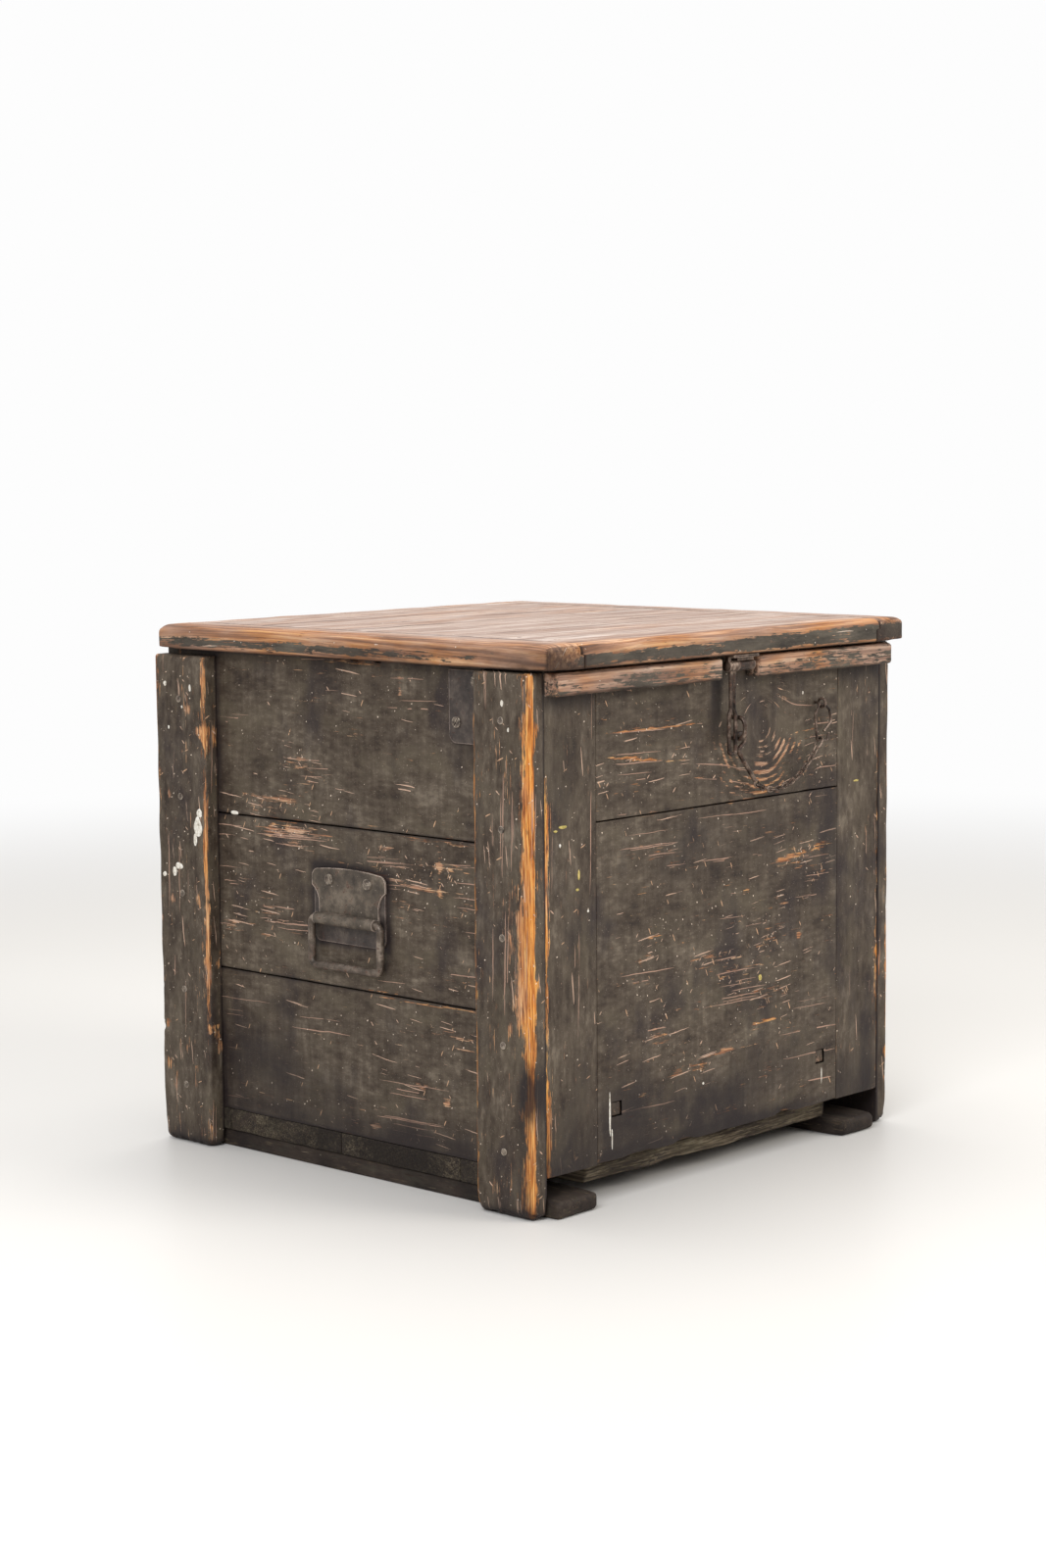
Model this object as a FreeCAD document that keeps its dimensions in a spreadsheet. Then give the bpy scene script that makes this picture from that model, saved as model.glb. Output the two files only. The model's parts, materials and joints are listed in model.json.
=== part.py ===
import FreeCAD, Part
import math
import os
from types import SimpleNamespace

# An old painted wooden chest with a drop handle on each side and a hasp, staple, pin and chain in front.
# Frame: X runs along the front, Y runs from the front to the back, Z is up, millimetres.
# The origin is the middle of the whole chest's footprint, on the floor.

os.makedirs("parts", exist_ok=True)
doc = FreeCAD.newDocument("wooden_box")
Vector = FreeCAD.Vector
axis_x = Vector(1, 0, 0)
axis_y = Vector(0, 1, 0)
axis_z = Vector(0, 0, 1)

# Driving dimensions
driving = [
    ("box_width", 560, "over the corner posts, left to right"),
    ("box_depth", 528, "over the corner posts, front to back"),
    ("body_height", 517, "floor to the lid's underside"),
    ("post_width", 75, "corner post, along the side"),
    ("post_thick", 19, "corner post, proud of the side planks"),
    ("post_round", 5, "rounding of a post's outer face"),
    ("front_post_drop", 2, "front post top below the lid"),
    ("rear_post_drop", 6, "rear post top below the lid"),
    ("plank_thick", 20, "side plank"),
    ("lower_plank", 148, "lower side plank, bottom to top"),
    ("upper_plank", 167.5, "upper side plank, bottom to top"),
    ("panel_thick", 20, "front and back panels"),
    ("stile_width", 72, "upright at each end of a panel"),
    ("panel_upper_board", 148, "upper board of a panel, bottom to top"),
    ("panel_lap", 2, "panel reaches this far below the floor's top"),
    ("tongue_thick", 7, "tongue on a panel board's end"),
    ("tongue_depth", 8, "tongue length into the stile"),
    ("tongue_play", 0.2, "clearance round a tongue"),
    ("edge_break", 1, "eased edge of every board"),
    ("skid_height", 17.5, "runner under the floor"),
    ("skid_width", 57, "runner, left to right"),
    ("left_skid_inset", 3, "left runner in from the side planks' outer face"),
    ("right_skid_inset", 18, "right runner in from the side planks' outer face"),
    ("skid_reach", 12, "runner past the front and back panels"),
    ("skid_round", 4, "rounding of a runner's ends"),
    ("floor_thick", 23, "floor boards"),
    ("front_floor_width", 93.5, "front floor board, front to back"),
    ("rear_floor_width", 62.5, "rear floor board, front to back"),
    ("floor_notch", 45, "corner cut of the floor, front to back"),
    ("lid_thick", 25, "lid boards"),
    ("lid_overhang", 22, "lid past the front panel"),
    ("cleat_width", 52, "cross board at each end of the lid"),
    ("lid_tongue_thick", 8, "tongue on a lid board's end"),
    ("lid_tongue_depth", 9, "tongue length into the cross board"),
    ("rear_lid_width", 114, "rear lid board, front to back"),
    ("third_lid_width", 125, "third lid board, front to back"),
    ("front_lid_width", 161, "front lid board, front to back"),
    ("lid_round", 8, "worn rounding of the lid's upper edge"),
    ("lid_corner", 12, "worn rounding of the lid's corners in plan"),
    ("ledge_height", 22, "moulding under the lid in front"),
    ("ledge_reach", 18, "moulding past the front panel"),
    ("ledge_drop", 2.2, "moulding below the lid"),
    ("ledge_round", 4, "rounding of the moulding"),
    ("gap_left", 20, "latch gap in the moulding, left of the middle"),
    ("gap_right", 37, "latch gap in the moulding, right of the middle"),
    ("peg_side", 13, "square peg in the front panel"),
    ("peg_play", 0.6, "gap round a peg"),
    ("peg_inset", 28, "peg's middle from the stile"),
    ("peg_height", 89, "peg above the ground"),
    ("nail_head", 7, "nail head diameter"),
    ("nail_head_thick", 1.2, "nail head"),
    ("nail_shank", 3.4, "nail diameter"),
    ("nail_length", 34, "nail under its head"),
    ("nail_end", 45, "first and last nail from a post's ends"),
    ("fastener_play", 0.05, "clearance round a nail or screw in its hole"),
    ("head_round", 0.45, "rounding of a nail's or screw's head, as a share of its thickness"),
    ("screw_head", 11, "slotted screw head diameter"),
    ("screw_head_thick", 1.6, "slotted screw head"),
    ("screw_shank", 4, "slotted screw diameter"),
    ("screw_length", 14, "screw under its head"),
    ("slot_width", 1.5, "screwdriver slot"),
    ("slot_depth", 0.9, "screwdriver slot"),
    ("handle_height", 257, "handle axis above the ground"),
    ("handle_shift", -4, "handle middle from the side's middle, front is minus"),
    ("handle_rod", 8, "bail rod diameter"),
    ("bail_width", 105, "bail over its legs"),
    ("bail_drop", 47, "bail axis to the middle of the grip"),
    ("bail_bend", 6, "bail corner radius on the rod's middle"),
    ("bail_play", 0.08, "clearance of the bail in its roll"),
    ("roll_wall", 1.8, "metal rolled round the bail"),
    ("roll_end_gap", 0.5, "roll end to the bail's bend"),
    ("sheet_thick", 1.6, "handle plates"),
    ("shield_width", 104, "upper handle plate"),
    ("shield_top", 49, "upper handle plate above the axis"),
    ("shield_shoulder", 32, "where the upper plate starts to narrow, above the axis"),
    ("shield_neck", 84, "upper plate's width at the roll"),
    ("shield_crown", 2.5, "arch of the upper plate's top edge"),
    ("shield_bow", 2.8, "how far the upper plate's narrowing sides curve in"),
    ("back_plate_width", 100, "lower handle plate"),
    ("back_plate_drop", 24, "lower handle plate below the axis"),
    ("back_plate_round", 9, "lower corners of the lower handle plate"),
    ("handle_screw_rise", 39, "handle screws above the axis"),
    ("handle_screw_spread", 27, "handle screws from the handle's middle"),
    ("corner_plate_width", 45, "steel corner plate, along the side"),
    ("corner_plate_height", 70, "steel corner plate"),
    ("corner_plate_thick", 2, "steel corner plate"),
    ("corner_plate_drop", 4, "steel corner plate below the lid"),
    ("corner_plate_round", 9, "free lower corner of the corner plate"),
    ("plate_screw_inset", 10, "corner plate's screws from its edges"),
    ("hinge_width", 64, "lid hinge, left to right"),
    ("hinge_inset", 34, "lid hinge's middle from the stile"),
    ("barrel_d", 10, "lid hinge barrel"),
    ("hinge_pin", 5, "lid hinge pin diameter"),
    ("hinge_play", 0.05, "clearance of the hinge pin"),
    ("knuckle_gap", 0.4, "gap between hinge knuckles"),
    ("barrel_gap", 0.3, "lid hinge barrel behind the back panel"),
    ("leaf_thick", 2, "hinge leaves"),
    ("lower_leaf", 36, "hinge leaf on the back panel"),
    ("upper_leaf", 20, "hinge leaf on the lid's back edge"),
    ("leaf_clear", 5.5, "leaf's free edge from the hinge axis"),
    ("leaf_screw_spread", 23, "hinge screws from the hinge's middle"),
    ("leaf_screw_rise", 7.5, "upper leaf's screws above its lower edge"),
    ("leaf_screw_first", 11, "lower leaf's upper screws under its upper edge"),
    ("leaf_screw_second", 27, "lower leaf's lower screws under its upper edge"),
    ("hasp_middle", 0.5, "hasp from the middle"),
    ("hasp_reach", 12, "hasp axis in front of the panel"),
    ("hasp_drop", 11, "hasp axis below the lid"),
    ("hasp_pin", 6, "hasp pin diameter"),
    ("hasp_play", 0.08, "clearance of the hasp on its pin"),
    ("hasp_eye", 12, "hasp eye outside diameter"),
    ("hasp_eye_width", 10, "hasp eye along its pin"),
    ("hasp_rod", 4.2, "hasp rod diameter"),
    ("hasp_length", 87, "hasp axis to its lower end, on the rod's middle"),
    ("hasp_neck", 4.6, "distance of the two rods at the top"),
    ("hasp_loop", 10, "width of the loop at the bottom, on the rod's middle"),
    ("hasp_loop_height", 44, "loop's height, on the rod's middle"),
    ("hasp_bend", 3.7, "hasp corner radius on the rod's middle"),
    ("bracket_left", 9, "hasp bracket, left of the hasp"),
    ("bracket_right", 30, "hasp bracket, right of the hasp"),
    ("bracket_depth", 19, "hasp bracket plate, front to back"),
    ("bracket_thick", 2.5, "hasp bracket plate"),
    ("bracket_knuckle", 11, "hasp bracket barrel"),
    ("bracket_web", 5, "web between bracket plate and barrel"),
    ("bracket_screw", 3.2, "bracket screw diameter"),
    ("bracket_screw_head", 6.4, "bracket screw head diameter"),
    ("staple_across", 13, "staple from the middle"),
    ("staple_drop", 73.5, "staple's middle below the lid"),
    ("staple_span", 21, "staple legs apart, on the wire's middle"),
    ("staple_reach", 18, "staple past the panel, on the wire's middle"),
    ("staple_wire", 4.5, "staple wire diameter"),
    ("staple_bend", 8, "staple corner radius"),
    ("staple_bite", 15, "staple leg in the wood"),
    ("pin_rod", 4.5, "locking pin diameter"),
    ("pin_tip", 3.6, "locking pin past the staple's middle"),
    ("pin_out", 11, "locking pin's upper bend, right of the staple's middle"),
    ("pin_neck", 9, "locking pin's second bend under its tip"),
    ("pin_fall", 16.5, "locking pin's lower bend under its tip"),
    ("pin_back", 0.5, "locking pin's lower bend, left of the staple's middle"),
    ("pin_run", 28, "locking pin's long end, across"),
    ("pin_drop", 33, "locking pin's long end, down"),
    ("pin_rest", 0.3, "locking pin above the staple's lower leg"),
    ("pin_bend", 2.8, "locking pin corner radius on the rod's middle"),
    ("latch_reach", 9, "middle of pin, chain and hook in front of the panel"),
    ("pin_ring", 3.3, "ring at the pin's end, on the wire's middle"),
    ("pin_ring_wire", 2, "ring at the pin's end"),
    ("chain_wire", 1.8, "chain wire diameter"),
    ("chain_link", 10, "chain link outside length"),
    ("chain_link_width", 6.4, "chain link outside width"),
    ("chain_play", 0.25, "play between neighbouring links"),
    ("end_link", 14, "last chain link outside length"),
    ("end_link_width", 9, "last chain link outside width"),
    ("end_play", 1, "play between the last link and the hook"),
    ("eye_across", 150, "screw eye from the middle"),
    ("eye_drop", 58, "screw eye below the lid"),
    ("eye_ring", 4.5, "screw eye ring, on the wire's middle"),
    ("eye_wire", 2.8, "screw eye wire diameter"),
    ("eye_bite", 14, "screw eye in the wood"),
    ("hook_wire", 2.6, "chain hook wire diameter"),
    ("hook_height", 37, "chain hook, on the wire's middle"),
    ("hook_left", 7.5, "chain hook's lower bend, left of the screw eye"),
    ("hook_right", 10, "chain hook's lower bend, right of the screw eye"),
    ("hook_seat", 3.5, "where the chain hangs on the hook, left of the screw eye"),
    ("hook_bulge", 16, "chain hook's widest place, right of the screw eye"),
    ("hook_bend", 2.5, "chain hook corner radius on the wire's middle"),
    ("ring_play", 0.6, "play between the first link and the pin's ring"),
]
counts = SimpleNamespace(knuckles=5, postNails=5, skidNails=3, links=19)

sheet = doc.addObject("Spreadsheet::Sheet", "Sizes")
for row, (alias, value, meaning) in enumerate(driving, 1):
    sheet.set(f"A{row}", meaning)
    sheet.set(f"B{row}", str(value))
    sheet.setAlias(f"B{row}", alias)
doc.recompute()


class Size:
    """A length that keeps both its spreadsheet expression and its present value."""

    def __init__(self, text, value):
        self.text = text
        self.value = value

    def join(self, sign, other, value):
        return Size(f"({self.text} {sign} {other.text})", value)

    def __add__(self, other):
        other = sized(other)
        return self.join("+", other, self.value + other.value)

    def __sub__(self, other):
        other = sized(other)
        return self.join("-", other, self.value - other.value)

    def __mul__(self, other):
        other = sized(other)
        return self.join("*", other, self.value * other.value)

    def __truediv__(self, other):
        other = sized(other)
        return self.join("/", other, self.value / other.value)

    def __radd__(self, other):
        return sized(other) + self

    def __rsub__(self, other):
        return sized(other) - self

    def __rmul__(self, other):
        return sized(other) * self

    def __neg__(self):
        return self * -1

    def __float__(self):
        return float(self.value)


def sized(number):
    return number if isinstance(number, Size) else Size(f"{float(number)}", float(number))


s = SimpleNamespace(**{alias: Size(f"Sizes.{alias}", float(sheet.get(alias))) for alias, _, _ in driving})
zero = sized(0)

# Main planes, worked out from the driving dimensions
case_middle_y = (s.lid_overhang - s.barrel_gap - s.barrel_d) / 2
front = case_middle_y - s.box_depth / 2
back = case_middle_y + s.box_depth / 2
side = s.box_width / 2 - s.post_thick
lid_front = front - s.lid_overhang
hinge_y = back + s.barrel_gap + s.barrel_d / 2
floor_top = s.skid_height + s.floor_thick
panel_bottom = floor_top - s.panel_lap
inner_front = front + s.panel_thick
inner_back = back - s.panel_thick
stile_inside = side - s.stile_width
hinge_x = stile_inside - s.hinge_inset
staple_z = s.body_height - s.staple_drop
eye_z = s.body_height - s.eye_drop
staple_lower = staple_z - s.staple_span / 2
plate_top = s.body_height - s.corner_plate_drop

pieces = {}


def keep(obj, name):
    obj.Label = name
    pieces[name] = obj
    return obj


def place(obj, x, y, z):
    for letter, where in zip("xyz", (x, y, z)):
        obj.setExpression(f"Placement.Base.{letter}", sized(where).text)
    return obj


def block(name, low, high):
    """A box between two corners, each given as three sizes."""
    box = doc.addObject("Part::Box", name)
    for side_name, a, b in zip(("Length", "Width", "Height"), low, high):
        box.setExpression(side_name, (sized(b) - sized(a)).text)
    return place(box, *low)


def rod(name, radius, length, base, along):
    cylinder = doc.addObject("Part::Cylinder", name)
    cylinder.setExpression("Radius", sized(radius).text)
    cylinder.setExpression("Height", sized(length).text)
    cylinder.Placement = FreeCAD.Placement(Vector(), FreeCAD.Rotation(axis_z, along))
    return place(cylinder, *base)


def cut(name, base, *tools):
    result = doc.addObject("Part::Cut", name)
    result.Base = base
    if len(tools) == 1:
        result.Tool = tools[0]
    else:
        group = doc.addObject("Part::Compound", f"{name}_tools")
        group.Links = list(tools)
        result.Tool = group
    return result


def fuse(name, *parts):
    result = doc.addObject("Part::MultiFuse", name)
    result.Shapes = list(parts)
    result.Refine = True
    return result


def edges_where(obj, test):
    doc.recompute()
    found = []
    for number, edge in enumerate(obj.Shape.Edges, 1):
        middle = edge.valueAt((edge.FirstParameter + edge.LastParameter) / 2)
        ends = [vertex.Point for vertex in edge.Vertexes]
        if test(middle, ends):
            found.append(number)
    return found


def rounded(name, base, radius, test):
    result = doc.addObject("Part::Fillet", name)
    result.Base = base
    result.Edges = [(number, radius.value, radius.value) for number in edges_where(base, test)]
    return result


def eased(name, base):
    """Every edge of a sawn board is broken by the same small amount."""
    result = doc.addObject("Part::Chamfer", name)
    result.Base = base
    width = s.edge_break.value
    result.Edges = [(number, width, width) for number in edges_where(base, lambda middle, ends: True)]
    return result


def near(a, b):
    return abs(float(a) - float(b)) < 0.01


# Holes that fasteners need, by the piece they are drilled into
drillings = {}
left_planks = ["left_lower_plank", "left_middle_plank", "left_upper_plank"]
panel_front = ["front_upper_board", "front_lower_board", "front_left_stile", "front_right_stile"]


def fastener(shaft_radius, shaft_length, head_radius, head_thick, seat, inward, slot_turn=None):
    """A nail or screw: its head stands on seat, its shank runs inward."""
    shank = Part.makeCylinder(shaft_radius, shaft_length, seat, inward)
    head = Part.makeCylinder(head_radius, head_thick, seat - inward * head_thick, inward)
    rim = [edge for edge in head.Edges
           if near((edge.CenterOfMass - seat).dot(inward), -head_thick) and len(edge.Vertexes) == 1]
    head = head.makeFillet(head_thick * s.head_round.value, rim)
    solid = shank.fuse(head)
    if slot_turn is not None:
        wide = 4 * head_radius
        slot = Part.makeBox(wide, s.slot_width.value, s.slot_depth.value,
                            Vector(-wide / 2, -s.slot_width.value / 2, 0))
        slot.rotate(Vector(), axis_z, slot_turn)
        slot.Placement = FreeCAD.Placement(seat - inward * head_thick,
                                           FreeCAD.Rotation(axis_z, inward)).multiply(slot.Placement)
        solid = solid.cut(slot)
    return solid.removeSplitter()


def drill(names, radius, length, seat, inward):
    hole = Part.makeCylinder(radius + s.fastener_play.value, length + s.fastener_play.value, seat, inward)
    for name in names:
        drillings.setdefault(name, []).append(hole)


def drill_both_sides(names, radius, length, seat, inward):
    """The left piece and its mirrored twin on the right get the same hole."""
    drill(names, radius, length, seat, inward)
    twins = [name.replace("left", "right") for name in names]
    mirror_seat = Vector(-seat.x, seat.y, seat.z)
    drill(twins, radius, length, mirror_seat, Vector(-inward.x, inward.y, inward.z))


def fastener_group(name, solids):
    group = doc.addObject("Part::Feature", name)
    group.Shape = Part.makeCompound(solids)
    return keep(group, name)


def mirrored_x(obj_name, source):
    twin = doc.addObject("Part::Mirroring", obj_name)
    twin.Source = source
    twin.Normal = axis_x
    return twin


# Corner posts: upright boards nailed on the outside of the side planks
def make_posts():
    rows = (("front", front, s.front_post_drop), ("rear", back - s.post_width, s.rear_post_drop))
    for depth_name, y_low, drop in rows:
        top = s.body_height - drop
        blank = block(f"{depth_name}_post_blank", (-(s.box_width / 2), y_low, zero),
                      (-side, y_low + s.post_width, top))
        outer = -(s.box_width / 2)
        left = rounded(f"{depth_name}_left_post", blank, s.post_round,
                       lambda middle, ends: near(middle.x, outer))
        keep(left, f"{depth_name}_left_post")
        keep(mirrored_x(f"{depth_name}_right_post", left), f"{depth_name}_right_post")


# Side planks: three on each side, between the front and back panels
def make_side_planks():
    lower_seam = floor_top + s.lower_plank
    upper_seam = s.body_height - s.upper_plank
    levels = (("lower", floor_top, lower_seam), ("middle", lower_seam, upper_seam),
              ("upper", upper_seam, s.body_height))
    for level, low, high in levels:
        blank = block(f"left_{level}_plank_blank", (-side, inner_front, low),
                      (s.plank_thick - side, inner_back, high))
        left = eased(f"left_{level}_plank", blank)
        keep(left, f"left_{level}_plank")
        keep(mirrored_x(f"right_{level}_plank", left), f"right_{level}_plank")


# Front and back panels: two boards held by their tongues between two stiles
def make_panel(face, y_low, y_high):
    middle_y = (y_low + y_high) / 2
    groove = s.tongue_thick / 2 + s.tongue_play
    blank = eased(f"{face}_stile_eased", block(f"{face}_stile_blank", (-side, y_low, panel_bottom),
                                               (-stile_inside, y_high, s.body_height)))
    channel = block(f"{face}_stile_groove",
                    (-stile_inside - s.tongue_depth - s.tongue_play, middle_y - groove, panel_bottom),
                    (-stile_inside, middle_y + groove, s.body_height))
    left = cut(f"{face}_left_stile", blank, channel)
    keep(left, f"{face}_left_stile")
    keep(mirrored_x(f"{face}_right_stile", left), f"{face}_right_stile")
    seam = s.body_height - s.panel_upper_board
    for level, low, high in (("lower", panel_bottom, seam), ("upper", seam, s.body_height)):
        board = eased(f"{face}_{level}_eased", block(f"{face}_{level}_blank", (-stile_inside, y_low, low),
                                                     (stile_inside, y_high, high)))
        tongue = block(f"{face}_{level}_tongue",
                       (-stile_inside - s.tongue_depth, middle_y - s.tongue_thick / 2, low + s.edge_break),
                       (stile_inside + s.tongue_depth, middle_y + s.tongue_thick / 2, high - s.edge_break))
        keep(fuse(f"{face}_{level}_board", board, tongue), f"{face}_{level}_board")


def make_pegs():
    reach = s.peg_side / 2
    hole = reach + s.peg_play
    pegs = []
    holes = []
    spread = stile_inside - s.peg_inset
    for name, middle in (("left", -spread), ("right", spread)):
        pegs.append(block(f"{name}_peg", (middle - reach, front, s.peg_height - reach),
                          (middle + reach, inner_front, s.peg_height + reach)))
        holes.append(block(f"{name}_peg_hole", (middle - hole, front - s.peg_play, s.peg_height - hole),
                           (middle + hole, inner_front + s.peg_play, s.peg_height + hole)))
    group = doc.addObject("Part::Compound", "front_pegs")
    group.Links = pegs
    keep(group, "front_pegs")
    drilled = cut("front_lower_board_pegged", pieces["front_lower_board"], *holes)
    keep(drilled, "front_lower_board")


# Floor: four boards across the chest, their ends flush with the side planks
def make_floor():
    second = inner_front + s.front_floor_width
    fourth = inner_back - s.rear_floor_width
    seams = [inner_front, second, (second + fourth) / 2, fourth, inner_back]
    names = ("front_floor_board", "second_floor_board", "third_floor_board", "rear_floor_board")
    for name, low, high in zip(names, seams, seams[1:]):
        blank = block(f"{name}_blank", (-side, low, s.skid_height), (side, high, floor_top))
        board = eased(f"{name}_eased", blank)
        if name == "front_floor_board":
            board = cut(f"{name}_notched", board, *corner_cuts("front", low, low + s.floor_notch))
        if name == "rear_floor_board":
            board = cut(f"{name}_notched", board, *corner_cuts("rear", high - s.floor_notch, high))
        keep(board, name)


def corner_cuts(label, y_low, y_high):
    cuts = []
    for name, x_low, x_high in (("left", -side, -stile_inside), ("right", stile_inside, side)):
        cuts.append(block(f"{label}_{name}_floor_cut", (x_low, y_low, s.skid_height),
                          (x_high, y_high, floor_top)))
    return cuts


def skid_places():
    """Each runner's left edge."""
    return {"left_skid": s.left_skid_inset - side, "right_skid": side - s.right_skid_inset - s.skid_width}


# Runners: two flat skids under the floor, front to back
def make_skids():
    y_low = front - s.skid_reach
    y_high = back + s.skid_reach / 2
    for name, x_low in skid_places().items():
        blank = block(f"{name}_blank", (x_low, y_low, zero), (x_low + s.skid_width, y_high, s.skid_height))
        keep(rounded(name, blank, s.skid_round,
                     lambda middle, points: (near(middle.y, y_low) or near(middle.y, y_high))
                     and not near(middle.z, 0)), name)


# Lid: four boards with tongues at their ends, held by a cross board at each end
def make_lid():
    low = s.body_height
    top = s.body_height + s.lid_thick
    middle_z = s.body_height + s.lid_thick / 2
    half = s.box_width / 2
    joint = half - s.cleat_width
    groove = s.lid_tongue_thick / 2 + s.tongue_play
    blank = block("lid_cleat_blank", (-half, lid_front, low), (-joint, back, top))
    corners = rounded("lid_cleat_corners", blank, s.lid_corner,
                      lambda middle, ends: near(middle.x, -half) and near(middle.z, middle_z))
    worn = rounded("lid_cleat_worn", corners, s.lid_round,
                   lambda middle, ends: near(middle.z, top) and not near(middle.x, -joint))
    channel = block("lid_cleat_groove",
                    (-joint - s.lid_tongue_depth - s.tongue_play, lid_front, middle_z - groove),
                    (-joint, back, middle_z + groove))
    left = cut("left_lid_cleat", worn, channel)
    keep(left, "left_lid_cleat")
    keep(mirrored_x("right_lid_cleat", left), "right_lid_cleat")

    rear_seam = back - s.rear_lid_width
    seams = [back, rear_seam, rear_seam - s.third_lid_width, lid_front + s.front_lid_width, lid_front]
    names = ("rear_lid_board", "third_lid_board", "second_lid_board", "front_lid_board")
    for name, high_y, low_y in zip(names, seams, seams[1:]):
        board = block(f"{name}_blank", (-joint, low_y, low), (joint, high_y, top))
        if name == "front_lid_board":
            board = rounded(f"{name}_worn", board, s.lid_round,
                            lambda middle, ends: near(middle.z, top) and near(middle.y, lid_front))
        elif name == "rear_lid_board":
            board = rounded(f"{name}_worn", board, s.lid_round,
                            lambda middle, ends: near(middle.z, top) and near(middle.y, back))
        else:
            board = eased(f"{name}_eased", board)
        tongue = block(f"{name}_tongue",
                       (-joint - s.lid_tongue_depth, low_y + s.edge_break, middle_z - s.lid_tongue_thick / 2),
                       (joint + s.lid_tongue_depth, high_y - s.edge_break, middle_z + s.lid_tongue_thick / 2))
        keep(fuse(name, board, tongue), name)


# Moulding under the lid in front, in two lengths with the latch between them
def make_ledges():
    top = s.body_height - s.ledge_drop
    face = front - s.ledge_reach
    for name, x_low, x_high in (("left_ledge", -side, -s.gap_left), ("right_ledge", s.gap_right, side)):
        blank = block(f"{name}_blank", (x_low, face, top - s.ledge_height), (x_high, front, top))
        keep(rounded(name, blank, s.ledge_round, lambda middle, ends: near(middle.y, face)), name)


# A round rod bent along straight runs, with an arc of the same radius at each corner
def bent_path(points, radius):
    edges = []
    start = points[0]
    for corner, following in zip(points[1:-1], points[2:]):
        before = (start - corner).normalize()
        after = (following - corner).normalize()
        angle = before.getAngle(after)
        setback = radius / math.tan(angle / 2)
        first = corner + before * setback
        last = corner + after * setback
        middle = corner + (before + after).normalize() * (radius / math.sin(angle / 2) - radius)
        edges.append(Part.LineSegment(start, first).toShape())
        edges.append(Part.Arc(first, middle, last).toShape())
        start = last
    edges.append(Part.LineSegment(start, points[-1]).toShape())
    return Part.Wire(edges)


def bent_rod(points, radius, diameter):
    path = bent_path(points, radius)
    heading = (points[1] - points[0]).normalize()
    profile = Part.Wire([Part.Circle(points[0], heading, diameter / 2).toShape()])
    return path.makePipeShell([profile], True, False)


def plate_from(points, arcs, thick, x_low):
    """A sheet-metal outline in the YZ plane. arcs gives, by corner, the middle of the arc that follows it."""
    edges = []
    for number, point in enumerate(points):
        following = points[(number + 1) % len(points)]
        if number in arcs:
            edges.append(Part.Arc(point, arcs[number], following).toShape())
        else:
            edges.append(Part.LineSegment(point, following).toShape())
    face = Part.Face(Part.Wire(edges))
    face.translate(Vector(x_low, 0, 0))
    return face.extrude(Vector(-thick, 0, 0))


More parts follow.
